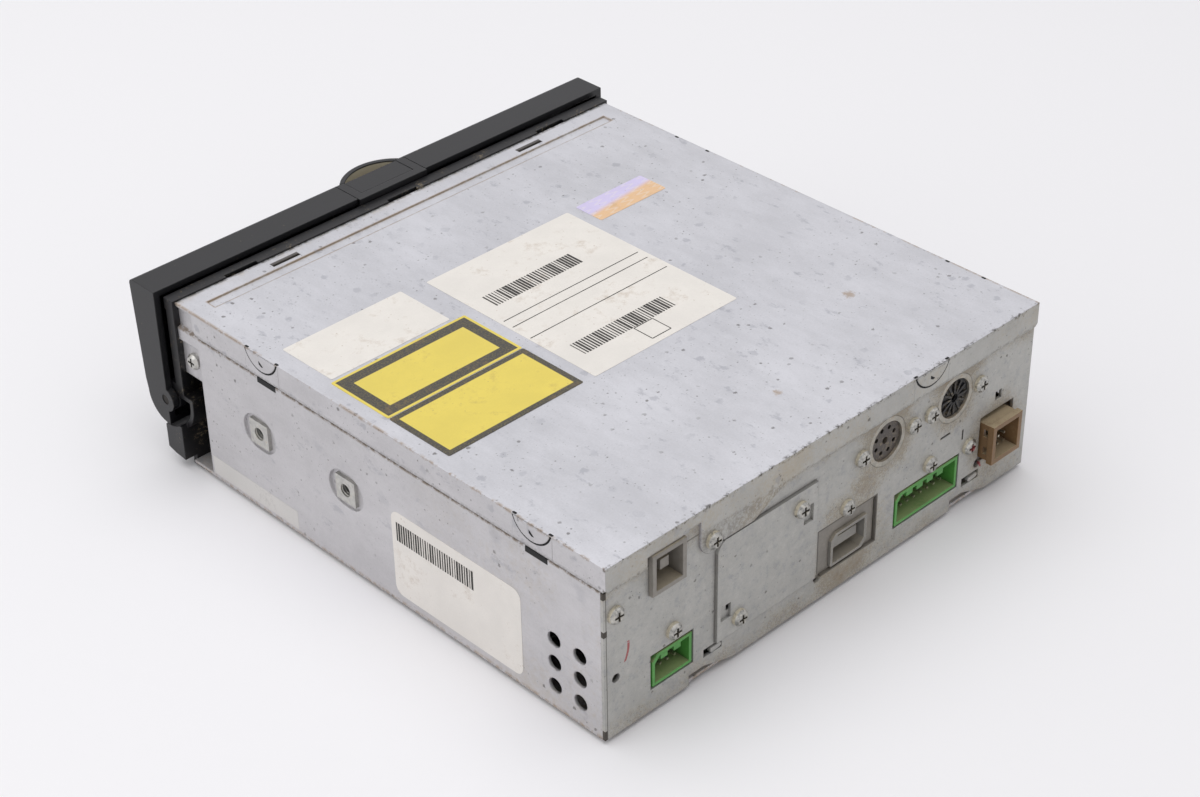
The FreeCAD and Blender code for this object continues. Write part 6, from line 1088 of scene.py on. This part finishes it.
class DRIVE_OT_snap_tabs(bpy.types.Operator):
    """Press the snap tabs of the lid's skirts: a proud half-round, with dark plates of painted shade for its
    slit, its hole and its notches
    """

    bl_idname = "drive.snap_tabs"
    bl_label = "Snap tabs"

    def execute(self, context):
        sizes = context.scene.drive_forms
        lid = frame["nodes"]["top_cover"].data.materials[0]
        shade = make_shade_finish(context.scene.drive_sheet)
        tabs = [(Vector((-sizes.tab_back_x, LID_HIGH.y, 0)), -X)]
        for side in (-1, 1):
            for along in sizes.tabs_along:
                tabs.append((Vector((side * CASE_HALF, CASE_FRONT + along, 0)), Y * side))
        plates, shades = [], []
        whole = segment_outline(sizes.tab_half, sizes.tab_drop)
        slit = segment_outline(sizes.tab_half + sizes.tab_slit, sizes.tab_drop + sizes.tab_slit)
        cover_more, cover_tall, cover_corner, cover_drop = sizes.cover
        cover = rounded_outline(2 * sizes.tab_half + cover_more, cover_tall, cover_corner)
        hole = [Vector(metres(corner)) for corner in TAB_HOLE]
        *notch_sizes, notch_inset = sizes.notch
        notch = rounded_outline(*notch_sizes)
        for place, across in tabs:
            outward = across.cross(Z)
            chord = place + Z * (LID_TOP - sizes.tab_chord)
            middle = place + Z * (LID_TOP - cover_drop)
            plates.append(make_plate(cover, middle, across, Z, -0.2 * MM, 0.03 * MM))
            # Painted shade: dark plates for the slit, the small hole and the notches.
            shades.append(make_plate(slit, chord, across, Z, 0.0, 0.06 * MM))
            plates.append(make_plate(whole, chord, across, Z, 0.0, sizes.tab_proud, 0.12 * MM))
            shades.append(make_plate(hole, chord - Z * sizes.hole_drop, across, Z, 0.1 * MM,
                                     sizes.tab_proud + 0.02 * MM))
            for end in (-1, 1):
                corner = place + Z * LID_TOP + across * (end * sizes.tab_half) - outward * notch_inset
                shades.append(make_plate(notch, corner, across, -outward, -0.1 * MM, 0.03 * MM))
        finish_mesh("snap_tabs", join_meshes("snap_tabs", plates), lid, "case")
        finish_mesh("snap_slit_shade", join_meshes("snap_slit_shade", shades), shade, "case")
        return {"FINISHED"}


class DRIVE_OT_socket_ribs(bpy.types.Operator):
    """Lay the radial ribs on the far round socket and the bent hooks in the hook slots"""

    bl_idname = "drive.socket_ribs"
    bl_label = "Socket ribs and hooks"

    def execute(self, context):
        sizes = context.scene.drive_forms
        insert = frame["nodes"]["round_socket_inserts"].data.materials[0]
        low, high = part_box("round_socket_inserts")
        middle = (low.x + sizes.insert_radius, high.y + sizes.rib_tall * 0.3, FLOOR + ROUND_SOCKETS_HIGH)
        ribs = rib_weave().grow(
            "socket_ribs", Count=sizes.rib_count, Inner=sizes.rib_first,
            Outer=sizes.insert_radius - sizes.rib_last, Wide=sizes.rib_wide, Tall=sizes.rib_tall,
            Place=middle, Turn=(math.pi / 2, 0.0, 0.0), Material=insert)
        finish_mesh("socket_ribs", ribs, insert, "case")
        rear = frame["nodes"]["rear_plate"].data.materials[0]
        hooks = []
        outline = rounded_outline(*sizes.hook)
        across = Vector((-1, 0, 0.12)).normalized()
        for x, z in (sizes.hooks[:2], sizes.hooks[2:]):
            place = Vector((x - 0.9 * MM, REAR_FACE, FLOOR + z))
            hooks.append(make_plate(outline, place, across, Y.cross(across), -0.9 * MM, 0.35 * MM, 0.15 * MM))
        finish_mesh("hook_tongues", join_meshes("hook_tongues", hooks), rear, "case")
        return {"FINISHED"}


class DRIVE_OT_latch_cap(bpy.types.Operator):
    """Close the rear of the latch's pocket, so that only the lip's crescent is open"""

    bl_idname = "drive.latch_cap"
    bl_label = "Latch cap"

    def execute(self, context):
        sizes = context.scene.drive_forms
        latch = frame["nodes"]["flap_latch"].data.materials[0]
        rear = CASE_FRONT - sizes.cap_rear
        deep = sizes.cap_front - sizes.cap_rear
        middle = Vector((0, rear - deep / 2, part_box("flap_latch")[1].z))
        cap = make_plate(rounded_outline(2 * sizes.cap_half, deep, 0.5 * MM), middle, X, Y,
                         -sizes.cap_gauge, -0.05 * MM, 0.25 * MM)
        finish_mesh("latch_cap", cap, latch, "latch")
        return {"FINISHED"}


class DRIVE_OT_lid_labels(bpy.types.Operator):
    """Stick the paper labels and the seal on the lid"""

    bl_idname = "drive.lid_labels"
    bl_label = "Lid labels"

    def execute(self, context):
        sizes = context.scene.drive_labels
        stain = context.scene.drive_sheet.rust
        places = label_places(sizes)

        def framed_marks(r):
            middle, size = places["framed"]
            outer = panel_mask(r, middle, size, -0.9 * MM)
            inner = panel_mask(r, middle, size, -4.6 * MM)
            return ((outer * (1 - inner), sizes.ink),)

        def banded_marks(r):
            middle, size = places["banded"]
            inner = panel_mask(r, middle, size, -2.0 * MM)
            return ((1 - inner, sizes.ink),)

        def seal_marks(r):
            middle, size = places["seal"]
            slope = (r.y - middle[1]) / size[1] + (middle[0] - r.x) / size[0] * 0.25
            guard = (r.x * 900 + (r.y * 2600).sine() * 1.4).sine()
            return ((slope.rise(-0.12, 0.12), sizes.orange), (guard.rise(0.55, 0.95) * 0.3, sizes.paper))

        stocks = {
            "large": make_paper("large_label_stock", sizes.paper, stain, 0.1),
            "small": make_paper("small_label_stock", sizes.paper, stain, 0.1),
            "framed": make_paper("framed_label_stock", sizes.yellow, stain, 0.35, framed_marks),
            "banded": make_paper("banded_label_stock", sizes.yellow, stain, 0.35, banded_marks),
            "seal": make_paper("seal_stock", sizes.lilac, stain, 0.5, seal_marks),
        }
        for name, (middle, size) in places.items():
            make_label(name + "_label", Vector((*middle, LID_TOP)), X, Y, size, sizes.gauge, sizes.corner,
                       stocks[name])
        return {"FINISHED"}


class DRIVE_OT_side_labels(bpy.types.Operator):
    """Stick the paper label and the strip of tape on the side wall"""

    bl_idname = "drive.side_labels"
    bl_label = "Side label and tape"

    def execute(self, context):
        sizes = context.scene.drive_labels
        look = context.scene.drive_sheet
        paper = make_paper("side_label_stock", sizes.paper, look.rust, 0.15)
        tape = make_paper("side_tape", sizes.tape, look.dirt_and_shade, 0.3)
        for name, place, thin, corner, stock in (
                ("side_label", sizes.side, 1.0, sizes.side_corner, paper),
                ("side_tape", sizes.strip, 0.6, 0.3 * MM, tape)):
            middle = Vector((CASE_HALF, CASE_FRONT + place[0], FLOOR + place[1]))
            make_label(name, middle, Y, Z, place[2:], sizes.gauge * thin, corner, stock)
        return {"FINISHED"}


class DRIVE_OT_printing(bpy.types.Operator):
    """Print plain bars and rules on the labels"""

    bl_idname = "drive.printing"
    bl_label = "Printing"

    def execute(self, context):
        sizes = context.scene.drive_labels
        ink = make_plain_finish("printing_ink", sizes.ink, 0.55)
        weave = bar_weave()
        lift = sizes.gauge * PRINT_HIGH
        top = LID_TOP + lift
        meshes = []
        for count, seed, bars in LID_BARS:
            x, y, long, tall = metres(bars)
            meshes.append(weave.grow("lid_bars", Length=long, Tall=tall, Count=count, Seed=seed,
                                     Place=(x, CASE_FRONT + y, top), Material=ink))
        line = sizes.rule
        rules = [(*metres(rule), line) for rule in LID_RULES]
        box_x, box_y, box_side = sizes.box
        for away in (-box_side / 2, box_side / 2):
            rules += [(box_x, box_y + away, box_side, line), (box_x + away, box_y, line, box_side)]
        for x, y, long, tall in rules:
            meshes.append(make_plate(rounded_outline(long, tall, 0.05 * MM), Vector((x, CASE_FRONT + y, top)),
                                     X, Y, -0.01 * MM, 0.01 * MM))
        finish_mesh("lid_printing", join_meshes("lid_printing", meshes), ink, "case")
        side = weave.grow(
            "side_bars", Length=32.4 * MM, Tall=6.5 * MM, Count=32, Seed=5,
            Place=(CASE_HALF + lift, CASE_FRONT + 114.7 * MM, FLOOR + 25.8 * MM),
            Turn=(math.pi / 2, 0.0, math.pi / 2), Material=ink)
        finish_mesh("side_printing", side, ink, "case")
        return {"FINISHED"}


class DRIVE_OT_threads(bpy.types.Operator):
    """Cut the threads of the side nuts"""

    bl_idname = "drive.threads"
    bl_label = "Threads"

    def execute(self, context):
        sizes = context.scene.drive_threads
        weave = thread_weave()
        steel = frame["nodes"]["side_nuts"].data.materials[0]
        low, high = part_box("side_nuts")
        meshes = []
        for side in (-1, 1):
            for nut in (0, 1):
                y = low.y + sizes.nut_side / 2 + nut * (high.y - low.y - sizes.nut_side)
                meshes.append(weave.grow(
                    "nut_thread", Radius=sizes.nut_bore, Pitch=sizes.nut_pitch, Turns=1.8,
                    Ridge=sizes.ridge, Steps=22, Material=steel,
                    Place=(side * (CASE_HALF - sizes.inset), y, (low.z + high.z) / 2),
                    Turn=(0.0, math.pi / 2 * side, 0.0)))
        finish_mesh("nut_threads", join_meshes("nut_threads", meshes), steel, "case")
        return {"FINISHED"}


class DRIVE_OT_stage(bpy.types.Operator):
    """Lay the floor, hang the lamps and place the camera"""

    bl_idname = "drive.stage"
    bl_label = "Stage"

    def execute(self, context):
        sizes = context.scene.drive_stage
        self.make_floor(sizes)
        self.make_world(sizes)
        self.make_lamp("key_lamp", *KEY_LAMP, sizes.key)
        self.make_lamp("side_lamp", *SIDE_LAMP, sizes.side)
        self.make_camera(sizes)
        return {"FINISHED"}

    def make_floor(self, sizes):
        """The plain floor under the drive."""
        bm = bmesh.new()
        bmesh.ops.create_grid(bm, x_segments=2, y_segments=2, size=sizes.floor_half)
        floor = bpy.data.objects.new("floor", settle_mesh("floor", bm))
        bpy.context.scene.collection.objects.link(floor)
        floor.data.materials.append(Recipe("stage_floor").paint(
            Base_Color=sizes.floor, Roughness=0.7, Specular_IOR_Level=0.2))

    def make_world(self, sizes):
        """White light from all round, and the floor's colour behind everything that is seen."""
        world = bpy.data.worlds.new("studio")
        world.use_nodes = True
        bpy.context.scene.world = world
        tree = Tree(world.node_tree)
        lit = world.node_tree.nodes["Background"]
        tree.feed(lit, {"Color": (1.0, 1.0, 1.0, 1.0), "Strength": sizes.world})
        seen = tree.node("ShaderNodeBackground", {}, {"Color": sizes.floor, "Strength": 1.0})
        ways = highest(*(tree.node("ShaderNodeLightPath", {}, {}, f"Is {way} Ray")
                         for way in ("Camera", "Glossy", "Transmission")))
        mixed = tree.node("ShaderNodeMixShader", {}, {0: ways, 1: Flow(tree, lit.outputs[0]), 2: seen})
        tree.feed(world.node_tree.nodes["World Output"], {"Surface": mixed})

    def make_lamp(self, name, place, aim, size, power):
        """A square soft lamp that looks at a point."""
        lamp = bpy.data.lights.new(name, "AREA")
        lamp.shape = "SQUARE"
        lamp.size = size
        lamp.energy = power
        made = bpy.data.objects.new(name, lamp)
        bpy.context.scene.collection.objects.link(made)
        made.location = place
        made.rotation_euler = (Vector(aim) - Vector(place)).to_track_quat("-Z", "Y").to_euler()

    def make_camera(self, sizes):
        """The camera of the main view."""
        a, e = sizes.azimuth, sizes.elevation
        back = Vector((math.sin(a) * math.cos(e), -math.cos(a) * math.cos(e), math.sin(e)))
        right = (-back).cross(Z).normalized()
        up = right.cross(-back)
        c, s = math.cos(sizes.roll), math.sin(sizes.roll)
        turned_right = right * c + up * s
        turned_up = up * c - right * s
        lens = bpy.data.cameras.new("camera")
        lens.lens = sizes.lens
        lens.sensor_width = 36.0
        lens.clip_start = 0.01
        lens.clip_end = 100.0
        camera = bpy.data.objects.new("camera", lens)
        bpy.context.scene.collection.objects.link(camera)
        place = Vector(sizes.aim) + back * sizes.distance
        turn = Matrix((turned_right, turned_up, back)).transposed().to_4x4()
        camera.matrix_world = Matrix.Translation(place) @ turn
        bpy.context.scene.camera = camera
        bpy.context.scene.view_settings.view_transform = "Standard"


class DRIVE_PT_looks(bpy.types.Panel):
    """The drive's steps, in order"""

    bl_idname = "DRIVE_PT_looks"
    bl_label = "Disc drive"
    bl_space_type = "VIEW_3D"
    bl_region_type = "UI"
    bl_category = "Disc drive"

    def draw(self, context):
        for step in STEPS:
            self.layout.operator(step.bl_idname)


GROUPS = {
    "drive_sheet": DriveSheetLook,
    "drive_moulding": DriveMouldingLook,
    "drive_labels": DriveLabelSizes,
    "drive_threads": DriveThreadSizes,
    "drive_forms": DriveFormSizes,
    "drive_stage": DriveStageSizes,
}
STEPS = (DRIVE_OT_finishes, DRIVE_OT_snap_tabs, DRIVE_OT_socket_ribs, DRIVE_OT_latch_cap,
         DRIVE_OT_lid_labels, DRIVE_OT_side_labels, DRIVE_OT_printing, DRIVE_OT_threads, DRIVE_OT_stage)


def register():
    """Adds the groups of sizes, the operators and the panel."""
    for name, group in GROUPS.items():
        bpy.utils.register_class(group)
        setattr(bpy.types.Scene, name, PointerProperty(type=group))
    for step in (*STEPS, DRIVE_PT_looks):
        bpy.utils.register_class(step)


def unregister():
    """Takes them away again."""
    for step in reversed((*STEPS, DRIVE_PT_looks)):
        bpy.utils.unregister_class(step)
    for name, group in GROUPS.items():
        delattr(bpy.types.Scene, name)
        bpy.utils.unregister_class(group)


def main():
    """Dresses the drive."""
    register()
    for step in STEPS:
        group, name = step.bl_idname.split(".")
        getattr(getattr(bpy.ops, group), name)()


if __name__ == "__main__":
    main()
